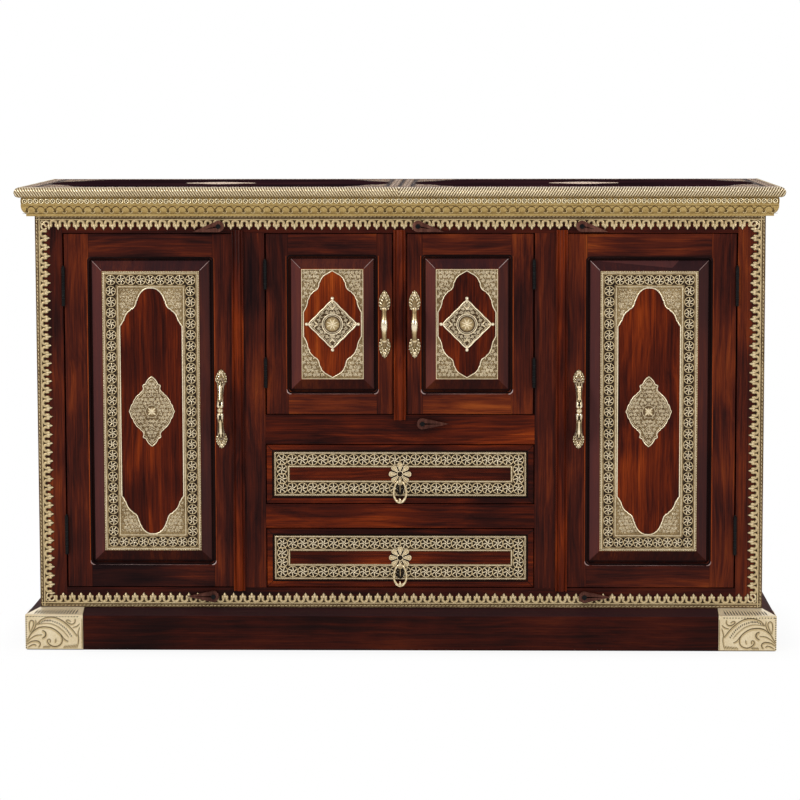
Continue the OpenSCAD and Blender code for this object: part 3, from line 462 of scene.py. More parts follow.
    def tube(self, path, across, deep, side, tone, sides=20):
        """A round bar along a path in space. across and deep are its half widths, the first of
        them along side, a direction square to the path."""
        p = np.asarray(path, float)
        n = len(p)
        d = np.gradient(p, axis=0)
        d /= np.linalg.norm(d, axis=1, keepdims=True)
        side = np.broadcast_to(np.asarray(side, float), p.shape)
        out = np.cross(d, side)
        a = np.arange(sides) * 2 * np.pi / sides
        across, deep = (np.broadcast_to(k, n)[:, None, None] for k in (across, deep))
        rows = p[:, None] + across * np.cos(a)[None, :, None] * side[:, None]
        rows = rows + deep * np.sin(a)[None, :, None] * out[:, None]
        faces = [(i + j, i + (j + 1) % sides, i + sides + (j + 1) % sides, i + sides + j)
                 for i in range(0, (n - 1) * sides, sides) for j in range(sides)]
        faces += [tuple(range(sides))[::-1], tuple(range((n - 1) * sides, n * sides))]
        tones = np.broadcast_to(tone(p, a) if callable(tone) else tone, (n, sides))
        self.add(rows.reshape(-1, 3), faces, tones.reshape(-1))

    def build(self, name, material, body, slot, node=None):
        """Makes the object from points in x, y, z."""
        mesh = bpy.data.meshes.new(name)
        mesh.from_pydata((np.concatenate(self.verts) * MM).tolist(), [], self.faces)
        tones = np.concatenate(self.tones).astype(np.float32)
        mesh.attributes.new("relief", "FLOAT", "POINT").data.foreach_set("value", tones)
        mesh.polygons.foreach_set("use_smooth", self.smooth)
        mesh.validate()
        mesh.update()
        o = bpy.data.objects.new(name, mesh)
        bpy.context.scene.collection.objects.link(o)
        mesh.materials.append(material)
        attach(o, body)
        if node:
            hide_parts(node)


# Outlines and places

def whole(quarter):
    """A quarter outline, from the top to the side, made whole round both axes."""
    q = np.asarray(quarter, float)
    half = np.concatenate([q, q[::-1][1:] * (1, -1)])
    return np.concatenate([half, (half[::-1] * (-1, 1))[1:-1]])


def ogee(half_w, straight, end, points):
    """Outline of a carved cut-out: half width, straight half length, length of an end, and its
    points as shares of the half width and of the end, from the tip to the side."""
    return whole([(u * half_w, straight + v * end) for u, v in points] + [(half_w, 0.0)])


def grown(loop, by):
    """A closed line about the middle, let out by a width."""
    return loop * (1 + by / np.abs(loop).max(0))


def rect(half_u, half_v, centre=(0, 0)):
    return np.array([(-1, -1), (1, -1), (1, 1), (-1, 1)]) * (half_u, half_v) + centre


def loop_line(half_u, half_v, step=8.0):
    """Points round a rectangle, close enough for a ridge with square corners."""
    p = rect(half_u, half_v)
    out = []
    for a, b in zip(p, np.roll(p, -1, 0)):
        n = max(2, int(np.linalg.norm(b - a) / step))
        out += [a + (b - a) * i / n for i in range(n)]
    return np.array(out)


def round_rect(half_u, half_v, r, n=5):
    """Points round a rectangle with round corners, n to a corner."""
    corners = ((1, 1), (-1, 1), (-1, -1), (1, -1))
    return np.concatenate([arc(r, 90 * k, 90 * k + 90, n, (su * (half_u - r), sv * (half_v - r)))
                           for k, (su, sv) in enumerate(corners)])


def inside(loop, pt):
    """Whether a point is inside a closed line."""
    (x, y), a, b = pt, loop, np.roll(loop, -1, 0)
    cross = (a[:, 1] > y) != (b[:, 1] > y)
    with np.errstate(divide="ignore", invalid="ignore"):
        at = a[:, 0] + (y - a[:, 1]) * (b[:, 0] - a[:, 0]) / (b[:, 1] - a[:, 1])
    return bool(np.sum(cross & (x < at)) % 2)


def away(loop, pt):
    """Distance from a point to a closed line."""
    d = np.roll(loop, -1, 0) - loop
    t = np.clip(np.sum((pt - loop) * d, 1) / np.maximum(np.sum(d * d, 1), 1e-9), 0, 1)
    return float(np.min(np.linalg.norm(loop + d * t[:, None] - pt, axis=1)))


def even(half, pitch):
    """Places with about that pitch, the same on both sides of the middle."""
    n = max(1, round(2 * half / pitch))
    return [-half + 2 * half * i / n for i in range(n + 1)]


def at_sides(u, places):
    """Points on the left and on the right side, at places along them."""
    return [(s * u, v) for s in (-1, 1) for v in places]


def at_ends(v, places):
    """Points on the lower and on the upper end, at places along them."""
    return [(u, s * v) for s in (-1, 1) for u in places]


def front(x0, z0, y, side=1, up=1):
    """Places raised work on a face that looks to the front, mirrored where side or up is -1."""
    return lambda u, v, h: (x0 + side * u, y - h, z0 + up * v)


# Ornament that repeats

def scroll(r, turns, width, height):
    """A spiral tendril with a dot in its eye and small leaves round it."""
    out = Relief()
    t = np.linspace(0, 1, 22)
    spiral = arc(1, 0, 360 * turns, 22) * (r * (1 - 0.80 * t ** 0.9))[:, None]
    out.ridge(spiral, width, height, taper=0.35)
    out.dome((0, 0), r * 0.17, height, sides=6)
    for k in (20, 105, 190, 275):
        out.leaf(polar(r * 1.02, k), k + 48, r * 0.62, r * 0.36, height, bend=0.25, steps=4)
    return out


def filigree(target, cell, box, within, without, base, seed, dim=1.0):
    """Fills the part of a box that is inside one line and outside another with scrolls, the same
    on both sides of u = 0."""
    rnd = random.Random(seed)
    jitter, room_needed, smallest = 0.12, cell * 0.46, 0.28
    (left, low), (right, high) = box
    motifs = [scroll(cell * 0.44, turns, cell * 0.15, 0.9) for turns in (1.1, 1.5, 1.8)]
    rows = int((high - low) / cell) + 2
    columns = int(max(abs(left), right) / cell) + 2
    for i in range(rows):
        for j in range(columns):
            u = (j + 0.5 * (i % 2) + rnd.uniform(-jitter, jitter)) * cell
            v = low + (i + rnd.uniform(-jitter, jitter)) * cell
            motif, turn = rnd.choice(motifs), rnd.uniform(0, 360)
            for side in (1, -1) if u > 0.3 * cell else (1,):
                p = np.array([side * u, v])
                if not (left <= p[0] <= right and low <= v <= high):
                    continue
                if not inside(within, p) or inside(without, p):
                    continue
                size = min(1.0, min(away(within, p), away(without, p)) / room_needed)
                if size > smallest:
                    target.stamp(motif, p, side * turn, size, base, flip=side < 0, dim=dim)


def disc_motif():
    """A wheel of curved petals in a ring, as on the pierced bands."""
    out = Relief()
    out.ring((0, 0), 9.3, 1.8, 1.0, tone=(-0.1, 0.72))
    for k in range(0, 360, 60):
        out.leaf(polar(1.1, k), k - 38, 6.7, 4.9, 1.4, bend=0.9, steps=8, tone=(-0.2, 1.2))
    return out


DISC = disc_motif()


def guilloche(target, centres, base, size=1.0, dim=1.0):
    """Discs at the centres, every other one turned and a little higher."""
    for i, c in enumerate(centres):
        target.stamp(DISC, c, 22.5 * (i % 2), size, base + 0.02 * (i % 2), dim=dim)


def band(target, half_w, half_l, outer, inner, base):
    """A flat raised margin between two insets of a plate, with a fine line on it."""
    edges = [rect(half_w - inset, half_l - inset) for inset in (outer, inner)]
    target.sheet(edges[0], edges[1:], base - 0.1, base + 0.45, edge=0.9)
    middle = (outer + inner) / 2
    target.loop(loop_line(half_w - middle, half_l - middle), 1.6, 0.5, base + 0.4, tone=(0.1, 1.0))


# Brass of the doors

TALL_END = ((0, 1), (0.10, 0.995), (0.20, 0.965), (0.30, 0.90), (0.37, 0.82), (0.42, 0.735), (0.445, 0.67),
            (0.468, 0.655), (0.475, 0.60), (0.51, 0.53), (0.565, 0.475), (0.64, 0.445), (0.672, 0.41),
            (0.735, 0.375), (0.80, 0.31), (0.85, 0.22), (0.875, 0.15), (0.905, 0.125), (0.945, 0.06), (1, 0))
SMALL_END = ((0, 1), (0.06, 0.975), (0.16, 0.935), (0.275, 0.89), (0.36, 0.83), (0.41, 0.765), (0.425, 0.73),
             (0.455, 0.715), (0.46, 0.66), (0.485, 0.595), (0.53, 0.55), (0.60, 0.515), (0.66, 0.495),
             (0.68, 0.47), (0.75, 0.425), (0.80, 0.365), (0.815, 0.325), (0.845, 0.305), (0.87, 0.20),
             (0.90, 0.13), (1, 0))
MEDAL = ((0, 71), (4.2, 67.6), (7, 65), (9.8, 61), (11.5, 57.4), (13, 54.7), (16.2, 53.9), (18, 52),
         (17.3, 49.8), (16.4, 46.5), (17.6, 42.6), (20.4, 39.3), (23.5, 37.2), (24.4, 34.9), (27.9, 32.8),
         (31.8, 28.8), (33.4, 25.7), (35.7, 22.9), (37.2, 19.3), (38.2, 15.6), (40, 14.2), (41.9, 10.8),
         (42.8, 7), (43.5, 4.4), (45.3, 1.4), (45.5, 0))


def medallion():
    """Pointed oval with a bead line round a field of scrolls about a four-leaf flower."""
    out = Relief()
    edge = whole(MEDAL)
    inner = edge * 0.90
    out.sheet(edge, high=0.9, tone=0.24, edge=0.9)
    out.loop(edge * 0.972, 2.0, 1.0, 0.8, tone=CREST_HIGHLIGHT)
    out.loop(inner, 0.9, 0.5, 0.8, tone=(0.4, 0.95))
    for k in range(0, 360, 90):
        out.leaf((0, 0), 45 + k, 11, 6.0, 1.1, 0.8)
        out.leaf((0, 0), k, 8.0, 3.2, 0.9, 0.8)
    out.ring((0, 0), 12.4, 1.0, 0.7, 0.8, sides=24)
    filigree(out, 7.4, ((-46, -72), (46, 72)), inner, circle(13, 24), 0.8, 11)
    return out


MEDALLION = medallion()


def tall_plate():
    """Brass of a tall door about its middle: pierced band, carved cut-out, medallion."""
    half = spans("right_door_brass")[3]
    half_w, half_l = half[X], half[Z]
    discs_in, field_in, hole_in = 17.3, 34.5, 34.0
    hole_half, hole_end = 60.3, 75.5
    scrolls_in, scrolls_depth = 33, 79
    out = Relief()
    hole = ogee(hole_half, half_l - hole_in - hole_end, hole_end, TALL_END)
    # the base sheet is painted near black, as painted shade in the gaps between the discs
    out.sheet(rect(half_w, half_l), [hole], high=0.9, tone=0.03)
    out.loop(grown(hole, 1.2), 2.4, 0.9, 0.9, tone=CREST_HIGHLIGHT)
    out.sheet(rect(half_w - 31.0, half_l - 31.0), [grown(hole, 2.0)], 0.8, 1.1)
    band(out, half_w, half_l, 0.0, 7.4, 0.9)
    band(out, half_w, half_l, 27.2, 34.2, 0.9)
    bead_in, bead_pitch, bead_r = 1.3, 3.4, 0.95
    beads = at_sides(half_w - bead_in, even(half_l - bead_in, bead_pitch))
    beads += at_ends(half_l - bead_in, even(half_w - bead_in - bead_pitch, bead_pitch))
    for bead in beads:
        out.dome(bead, bead_r, bead_r * 0.6, 1.2, sides=6, tone=(0.3, 1.0))
    rail = half_w - discs_in
    columns = at_sides(rail, even(half_l - discs_in, 21.3))
    guilloche(out, columns + at_ends(half_l - discs_in, even(rail - 20.4, 20.8)), 0.85)
    field = rect(half_w - field_in, half_l - field_in)
    for side in (1, -1):
        low, high = sorted(side * (half_l - scrolls_in - k) for k in (0, scrolls_depth))
        box = ((scrolls_in - half_w, low), (half_w - scrolls_in, high))
        filigree(out, 6.9, box, field, grown(hole, 3.0), 1.05, 5 + side)
    out.stamp(MEDALLION)
    return out


def lozenge():
    """Square on its corner with balls on the points and a rosette in rings."""
    out = Relief()
    reach, ball_at, waves = 49.6, 50.8, 3
    edge = []
    for k in range(4):
        a, b = polar(reach, 90 - 90 * k), polar(reach, -90 * k)
        for t in np.linspace(0, 1, 12, endpoint=False):
            swell = 0.55 * math.sin(math.pi * waves * t) ** 2
            edge.append(a + (b - a) * t + (a + b) / reach * swell)
    edge = np.array(edge)
    out.sheet(edge, high=1.3, tone=0.15, edge=0.9)
    out.loop(edge * 0.965, 2.8, 1.3, 1.1, tone=CREST_HIGHLIGHT)
    out.loop(edge * 0.885, 0.9, 0.6, 1.2, tone=(0.4, 0.9))
    out.ring((0, 0), 20.0, 2.2, 1.3, 1.2, sides=32, tone=CREST_HIGHLIGHT)
    out.ring((0, 0), 17.0, 1.2, 0.9, 1.2, sides=32, tone=CREST_HIGHLIGHT)
    out.dome((0, 0), 14.6, 1.0, 1.2, sides=28, tone=(0.25, 0.5))
    for k in range(8):
        out.leaf((0, 0), 45 * k + 22.5, 11.6, 5.0, 1.5, 1.9)
    out.dome((0, 0), 3.0, 2.3, 2.0, sides=12)
    for k in range(0, 360, 90):
        out.dome(polar(ball_at, k), 3.6, 3.0, sides=12, tone=(0.5, 1.0))
        out.leaf(polar(41, k), k, 9, 5.6, 1.8, 1.0)
        for t in (-1, 1):
            out.leaf(polar(29, k), k + 26 * t, 11, 3.4, 1.2, 1.2, bend=0.22 * t)
    filigree(out, 7.6, ((-46, -46), (46, 46)), edge * 0.90, circle(19.6, 24), 1.2, 8)
    return out


def small_plate():
    """Brass of a small door about its middle: carved cut-out, lozenge."""
    half = spans("small_right_brass")[3]
    half_w, half_l = half[X], half[Z]
    straight, side_in, end_in = 23.4, 5.2, 4.2
    out = Relief()
    hole = ogee(half_w - side_in, straight, half_l - end_in - straight, SMALL_END)
    out.sheet(rect(half_w, half_l), [hole], high=0.9, tone=0.26)
    out.loop(grown(hole, 1.1), 2.0, 0.8, 0.7, tone=CREST_HIGHLIGHT)
    out.loop(loop_line(half_w - 0.9, half_l - 0.9), 1.5, 0.7, 0.8, tone=(0.3, 0.9))
    for side in (-1, 1):
        low, high = sorted((side * 22, side * (half_l - 1)))
        box = ((2 - half_w, low), (half_w - 2, high))
        filigree(out, 8.0, box, rect(half_w - 2, half_l - 2), grown(hole, 2.5), 0.85, 21)
    out.stamp(lozenge())
    return out


def door_brass(plate, node, body, side):
    high, mid = spans(node)[1:3]
    made = Relief().put(plate, front(mid[X], mid[Z], high[Y], side))
    made.build(node + "_relief", SHEET, body, "sheet_brass", node)


TALL_PLATE, SMALL_PLATE = tall_plate(), small_plate()
for side, name in ((-1, "left"), (1, "right")):
    door_brass(TALL_PLATE, name + "_door_brass", name + "_door", side)
for side, name in ((-1, "small_left"), (1, "small_right")):
    door_brass(SMALL_PLATE, name + "_brass", name + "_door", side)


# Handles: a bow with collars between two leaves

TALL_TURNING = ((0, 5.8), (3.0, 5.6), (3.4, 4.0), (4.8, 4.0), (5.4, 5.6), (7, 6.3), (10, 6.9), (13, 6.6),
                (18, 5.9), (24, 5.5), (32, 5.6), (42, 6.4), (50, 7.6), (54, 7.2), (62, 5.0))
SMALL_TURNING = ((0, 6.6), (4, 6.5), (8, 6.0), (12, 5.2), (17, 4.5), (24, 4.3), (28, 4.5), (29.5, 5.8),
                 (31.5, 5.8), (33, 4.6), (44, 4.4))


def handle(node, body, turning, leaf_w, leaf_l, lens, ears):
    """A bow whose radius follows the turning from its middle to its ends. lens gives where a dark
    lens-shaped line starts and ends along it, and how wide it opens; a dark drop is at its start."""
    low, high, mid, size = spans(node)
    half = size[Z]
    rise = high[Y] - low[Y] - turning[0][1]
    sunk = 2.2
    post = half - leaf_l * 0.62
    t = np.linspace(-1, 1, 141)
    bow = high[Y] - sunk - (rise - sunk) * (1 - t ** 2)
    path = np.stack([np.full(len(t), mid[X]), bow, mid[Z] + t * post], 1)
    along, radius = zip(*turning)
    r = np.interp(np.abs(t) * post, np.array(along) * post / along[-1], radius)

    def tone(p, a):
        from_mid = np.abs(p[:, Z] - mid[Z])[:, None] * along[-1] / post
        # painted highlight on the swellings of the bow and painted shade on its necks
        level = np.full((len(p), len(a)), 0.62) + 0.3 * np.clip(r - 5.2, -1, 1)[:, None]
        aside = np.abs(np.cos(a))[None, :]
        if lens:
            near, far, wide = lens
            share = np.clip((from_mid - near) / (far - near), 0, 1)
            line = wide * np.sin(np.pi * share) ** 0.7
            level = np.where((np.abs(aside - line) < 0.2) & (share > 0) & (share < 1), 0.04, level)
            drop = (from_mid - near) / (0.14 * (far - near))
            level = np.where((np.abs(drop) < 1) & (aside < 0.34 * (1 - np.abs(drop))), 0.0, level)
        return level

    out = Relief()
    out.tube(path, r, r * 0.94, (1, 0, 0), tone, 24)
    leaf = finial(leaf_w, leaf_l, ears)
    for s in (1, -1):
        out.put(leaf, front(mid[X], mid[Z] + s * (half - leaf_l), high[Y], s, s))
    out.build(node + "_cast", CAST, body, "cast_brass", node)


def finial(wide, long, ears):
    """Pointed leaf of layered petals with dark gaps of painted shade between them, with two ears at its root
    or without.
    """
    out = Relief()
    t = np.linspace(0, 1, 12)
    half = wide / 2 * np.sin(np.pi * (0.16 + 0.84 * t) ** 0.9) ** 0.75
    edge = np.concatenate([np.stack([half, t * long], 1), np.stack([-half, t * long], 1)[::-1][1:]])
    out.sheet(edge, high=1.6, tone=0.34, edge=0.2)
    for u, v in edge[::2]:
        out.dome((u * 0.9, v * 0.96), wide * 0.075, 1.4, 1.5, sides=8, tone=(0.1, 1.0))
    bowl = arc((wide * 0.40, long * 0.16), 200, 340, 10, (0, long * 0.26))
    out.ridge(bowl, long * 0.10, 2.6, 1.4, tone=(0.1, 0.9))
    out.dome((0, long * 0.30), wide * 0.12, 3.4, 1.4, tone=(0.2, 1.0))
    for s in (-1, 1):
        for k, up in enumerate((0.14, 0.32, 0.49, 0.65)):
            root, turn = (s * wide * 0.05, long * up), 90 - s * (56 - 9 * k)
            out.leaf(root, turn, wide * (0.50 - 0.07 * k), wide * 0.26, 2.6, 1.5,
                     bend=0.22 * s, tone=(-0.25, 1.05))
        if ears:
            ear = s * wide * 0.20
            out.leaf((ear, long * 0.16), 90 - s * 80, wide * 0.30, wide * 0.22, 2.2, 1.2,
                     steps=5, tone=(0.05, 1.0))
            out.leaf((ear, long * 0.06), 90 - s * 112, wide * 0.24, wide * 0.16, 2.0, 1.2,
                     steps=5, tone=(0.05, 0.9))
    out.leaf((0, long * 0.62), 90, long * 0.36, wide * 0.22, 3.0, 1.5, tone=(0.1, 1.0))
    return out


for side in ("left", "right"):
    handle(side + "_door_handle", side + "_door", TALL_TURNING, leaf_w=22.0, leaf_l=29.0,
           lens=(11.0, 56.0, 0.62), ears=False)
    handle("small_" + side + "_handle", f"small_{side}_door", SMALL_TURNING, leaf_w=22.5, leaf_l=37.0,
           lens=None, ears=True)


# Drawers: pierced frame, rosette with hanger, drop ring

def drawer_frame(half_w, half_l):
    """Brass frame with slanting strokes at its upper and lower edge, and discs along its middle."""
    frame_w, discs_in = 31.0, 15.6
    out = Relief()
    # the base sheet is painted near black, as painted shade in the gaps between the discs
    out.sheet(rect(half_w, half_l), [rect(half_w - frame_w, half_l - frame_w)], high=0.8, tone=0.02)
    band(out, half_w, half_l, 0.0, 4.2, 0.8)
    band(out, half_w, half_l, 27.0, frame_w, 0.8)
    for s in (-1, 1):
        for u in even(half_w - 2.2, 3.6):
            out.leaf((u - 1.3, s * (half_l - 2.2) - 1.2), 42, 3.6, 1.9, 0.6, 1.1, steps=4)
    row = at_ends(half_l - discs_in, even(half_w - discs_in, 20.3))
    guilloche(out, row + at_sides(half_w - discs_in, even(half_l - discs_in, 19.5)[1:-1]), 0.8, size=1.12)
    return out


def rosette():
    """Eight broad petals over a dark disc of painted shade that shows in their gaps, round a dark eye of
    painted shade, over a dark drop of painted shade with a post.
    """
    out = Relief()
    # painted shade: a dark disc under the petals that shows in their gaps
    out.dome((0, 0), 19.5, 1.2, sides=24, tone=(0.0, 0.0))
    # painted shade: the dark drop under the rosette, inside the ring
    out.sheet(circle((8.4, 15.0), 20, (0, -27.0)), high=1.2, tone=0.0, edge=0.0)
    out.leaf((0, -38.0), 90, 22, 3.4, 1.6, 1.2, tone=(0.0, 0.6))
    side = ((6.4, 12.0), (12.0, 16.5), (17.5, 17.4), (20.6, 13.4), (22.2, 6.0))
    for k in range(0, 360, 45):
        petal = np.array([polar(r, k - a) for r, a in side] + [polar(r, k + a) for r, a in side[::-1]])
        centre = petal.mean(0)
        out.sheet(petal, high=1.8, tone=0.60, edge=0.2)
        out.loop(centre + (petal - centre) * 0.86, 1.2, 0.7, 1.7, tone=(0.35, 0.95))
        out.leaf(centre * 0.62, k, 9.5, 3.6, 1.0, 1.7, steps=5, tone=(0.45, 0.95))
    out.ring((0, 0), 5.8, 1.8, 1.6, 1.6, sides=18, tone=(0.2, 0.9))
    # painted shade: the dark eye
    out.sheet(circle((4.6, 4.8), 20), high=2.2, tone=0.0, edge=0.0)
    return out


ROSETTE = rosette()


def drawer_brass(prefix):
    """Frame, rosette and the small eye with its stem in which the ring hangs."""
    high, mid, half = spans(prefix + "_brass")[1:]
    ring_high, ring_mid = spans(prefix + "_ring")[1:3]
    base = high[Y]
    out = Relief().put(drawer_frame(half[X], half[Z]), front(mid[X], mid[Z], base))
    out.put(ROSETTE, front(mid[X], mid[Z], base - 0.9))
    wire, eye_r, half_w, stem_half = 2.2, 3.6, 1.5, 2.2
    eye = np.array([mid[X], ring_mid[Y], ring_high[Z] - wire])
    loop = np.column_stack([np.full(25, eye[X]), arc(eye_r, 0, 360, 25, eye[[Y, Z]])])
    out.tube(loop, half_w, 1.1, (1, 0, 0), 0.8, 10)
    stem = [(mid[X], base - 2.0, eye[Z]), (mid[X], eye[Y] + 3.0, eye[Z])]
    out.tube(stem, half_w, stem_half, (1, 0, 0), 0.6, 10)
    out.build(prefix + "_brass_relief", SHEET, prefix, "sheet_brass", prefix + "_brass")


def drop_ring(prefix, body):
    """Long ring of wire, thicker at its foot, with three small leaves there."""
    low, high, mid, half = spans(prefix + "_ring")
    wire, n = 2.1, 61
    a = np.linspace(0, 2 * np.pi, n)
    x = (half[X] - wire) * np.sin(a) * (1 - 0.10 * np.cos(a))
    path = np.stack([mid[X] + x, np.full(n, mid[Y]), mid[Z] + (half[Z] - wire) * np.cos(a)], 1)
    radius = wire + 1.2 * np.clip(-np.cos(a), 0, 1) ** 6
    grip = 0.42 + 0.10 * np.sin(a * 14)[:, None]
    out = Relief()
    # the 0.3 times |cos| term is a painted highlight on the wire's front and back
    out.tube(path, radius, radius, (0, 1, 0), lambda p, b: grip + 0.3 * np.abs(np.cos(b))[None, :], 12)
    leaves = Relief()
    for at, lean, length in ((0, 90, 8.5), (-4.4, 125, 6.5), (4.4, 55, 6.5)):
        leaves.leaf((at, 0), lean, length, 5.2, 1.8, tone=CREST_HIGHLIGHT)
    out.put(leaves, front(mid[X], low[Z] + 2.0, mid[Y] - 1.9))
    out.build(prefix + "_ring_cast", CAST, body, "cast_brass", prefix + "_ring")


def drawer_lip(prefix):
    """A bead on the inner edge of a drawer's lip, painted dark as the shade of the groove between lip and
    brass, and the lip's mitre lines in the same dark wood.
    """
    low, _, mid, _ = spans(prefix + "_front")
    half = spans(prefix + "_brass")[3]
    half_w, half_l = half[X], half[Z]
    out = Relief()
    out.loop(loop_line(half_w + 2.2, half_l + 2.2), 3.0, 0.8)
    for su, sv in rect(1, 1):
        out.ridge([(su * (half_w + past), sv * (half_l + past)) for past in (3.0, 13.0)], 1.0, 0.3)
    made = Relief().put(out, front(mid[X], mid[Z], low[Y]))
    made.build(prefix + "_bead", wood(f"wood_{prefix}_bead", X, BEAD_SHADE, 3.3), prefix, "rosewood")


for level in ("upper", "lower"):
    drawer_lip(level + "_drawer")
    drawer_brass(level + "_drawer")
    drop_ring(level + "_drawer", level + "_ring")


# Borders on the face frame, with v = 0 at the outer edge

BORDER_CORNER = 26.0
BORDER_PITCH = 17.75
BORDER_DIM = 0.80


def border_motif(pitch):
    """One C scroll that opens to the wood, with a bud after it."""
    out = Relief()
    out.ridge(arc(5.6, 40, -220, 18, (0, 14.8)), 7.2, 2.2, tone=(-0.3, 0.82))
    for s in (-1, 1):
        out.dome((s * 5.2, 19.2), 3.9, 2.4, sides=8, tone=(-0.15, 0.84))
    out.leaf((pitch / 2, 15.2), 90, 12.4, 11.4, 2.8, 0.6, steps=8, tone=(-0.3, 1.05))
    return out


def border_run(length):
    """The band with small leaves, a ridge with a painted highlight on its crest, a dark sheet of painted
    shadow between the band and the scrolls, and the row of C scrolls.
    """
    out = Relief()
    n = round((length - 2 * BORDER_CORNER) / BORDER_PITCH)
    pitch = (length - 2 * BORDER_CORNER) / n
    motif = border_motif(pitch)
    band_low, band_high, shadow_high = -1.4, 9.4, 15.0
    out.sheet([(0, band_low), (length, band_low), (length, band_high), (0, band_high)],
              high=0.8, tone=0.27, edge=0.3)
    # painted shadow: a dark flat sheet where the band and the scrolls shade the gap
    out.sheet([(0, band_high), (length, band_high), (length, shadow_high), (0, shadow_high)],
              high=0.25, tone=0.0, edge=0.0)
    out.ridge(level_line(0, length, 60, 7.0), 3.6, 1.4, 0.7, tone=(-0.1, 0.84))
    leaves = int(length / 7.4)
    for i in range(leaves):
        out.leaf(((i + 0.1) * length / leaves, 1.7), 4, 6.2, 3.6, 1.1, 0.7, steps=5, tone=(-0.1, 0.95))
    for i in range(n):
        out.stamp(motif, (BORDER_CORNER + (i + 0.5) * pitch, 0))
    return out


def corner_piece():
    """Mitred corner: a loop on the slant with two C scrolls and a bud."""
    out = Relief()
    out.ring((13.5, 13.5), 3.6, 2.6, 1.6, sides=14, tone=(0.3, 1.0))
    out.leaf((15.5, 15.5), 45, 13, 6.0, 1.8)
    curve = arc(6.0, 50, -160, 12, (20.5, 16.6))
    for line in (curve, curve[:, ::-1]):
        out.ridge(line, 3.8, 1.6, tone=(0.3, 1.0))
    return out


def border_frame():
    low, high, _, half = spans("borders")
    out = Relief()
    level, upright, corner = border_run(2 * half[X]), border_run(2 * half[Z]), corner_piece()
    for run, at, turn in ((level, (low[X], low[Z]), 0), (upright, (high[X], low[Z]), 90),
                          (level, (high[X], high[Z]), 180), (upright, (low[X], high[Z]), 270)):
        out.stamp(run, at, turn, dim=BORDER_DIM)
        out.stamp(corner, at, turn, dim=BORDER_DIM)
    made = Relief().put(out, front(0, 0, high[Y]))
    made.build("border_relief", SHEET, "carcass", "sheet_brass", "borders")


border_frame()


# Cornice, bead strip and rope

BODY_X = spans("side_panels")[1][X]
FRONT_Y = spans("outer_stiles")[0][Y]
BACK_Y = spans("cornice")[1][Y]
CORNICE_Z = spans("cornice")[0][Z]
EDGE_LOW, EDGE_HIGH = spans("edge_brass")[:2]
BOARD_OUT = spans("top_board")[1][X] - BODY_X


def three_sides(make, out, up):
    """The same run on the front, the right and the left. make gives work from u = 0 to a length;
    out and up say how far from the body and how high its v and h come."""
    made = Relief()
    wide, deep = 2 * (BODY_X + BOARD_OUT), BACK_Y - FRONT_Y + BOARD_OUT
    made.put(make(wide), lambda u, v, h: (u - wide / 2, FRONT_Y - out(v, h), up(v, h)))
    run = make(deep)
    for side in (-1, 1):
        made.put(run, lambda u, v, h: (side * (BODY_X + out(v, h)), BACK_Y - u, up(v, h)))
    return made


def bead_row(length):
    """Rings with a dot in each, each ring on a dark disc of painted shadow, in a row on a gilt strip."""
    out, motif = Relief(), Relief()
    # painted shadow: a dark disc round each ring
    motif.dome((0, 0), 5.5, 0.1, sides=14, tone=(-0.1, -0.1))
    motif.ring((0, 0), 4.1, 2.4, 1.1, sides=14, tone=(0.1, 1.1))
    motif.dome((0, 0), 1.8, 1.0, sides=8, tone=(0.0, 1.0))
    out.sheet([(0, 0), (length, 0), (length, 12.0), (0, 12.0)], low=-2.0, high=0.0, tone=0.38, edge=0.3)
    n = round(length / 11.1)
    for i in range(n):
        out.stamp(motif, ((i + 0.5) * length / n, 5.8))
    return out


def cove_row(length):
    """Dark arches between small dark drops, each drop with a bright curl under it."""
    out = Relief()
    n = round(length / 18.5)
    pitch = length / n
    for i in range(n):
        u = (i + 0.5) * pitch
        if i < n - 1:
            arch = arc((pitch / 2 - 1.6, 5.8), 5, 175, 12, (u + pitch / 2, 13.8))
            out.ridge(arch, 1.4, 0.4, tone=(0.14, 0.12))
        out.dome((u, 11.2), 2.7, 0.6, tone=(0.06, 0.16))
        out.leaf((u - 0.4, 12.8), 80, 5.4, 2.0, 0.6, steps=4, tone=(0.08, 0.14))
        out.ridge(arc((3.9, 4.4), 200, 380, 9, (u, 11.0)), 1.3, 0.6, tone=(0.5, 0.95))
        out.dome((u - 0.6, 11.8), 0.9, 0.8, sides=7, tone=(0.25, 0.45))
    for v in (5.4, 20.6):
        out.ridge(level_line(0, length, 80, v), 1.0, 0.3, tone=(0.15, 0.25))
    return out


COVE_FOOT, COVE_H = 5.0, 15.0
COVE_START, COVE_REACH = 14.0, 9.0
COVE_SWELL = (8.6, 5.2)
COVE_NORMAL = (0.86, 0.5)


def cove_share(v):
    """How far up the cove a height lies, from 0 at its foot to 1 at its top."""
    return np.clip((v - COVE_FOOT) / COVE_H, 0.0, 1.0)


def cove_out(v, h):
    """How far the cornice stands out where its outline has come v up from its lower edge."""
    t = cove_share(v)
    return COVE_START + COVE_REACH * t + COVE_SWELL[0] * t * (1 - t) + COVE_NORMAL[0] * h


def cove_up(v, h):
    t = cove_share(v)
    return CORNICE_Z + v - COVE_SWELL[1] * t * (1 - t) - COVE_NORMAL[1] * h


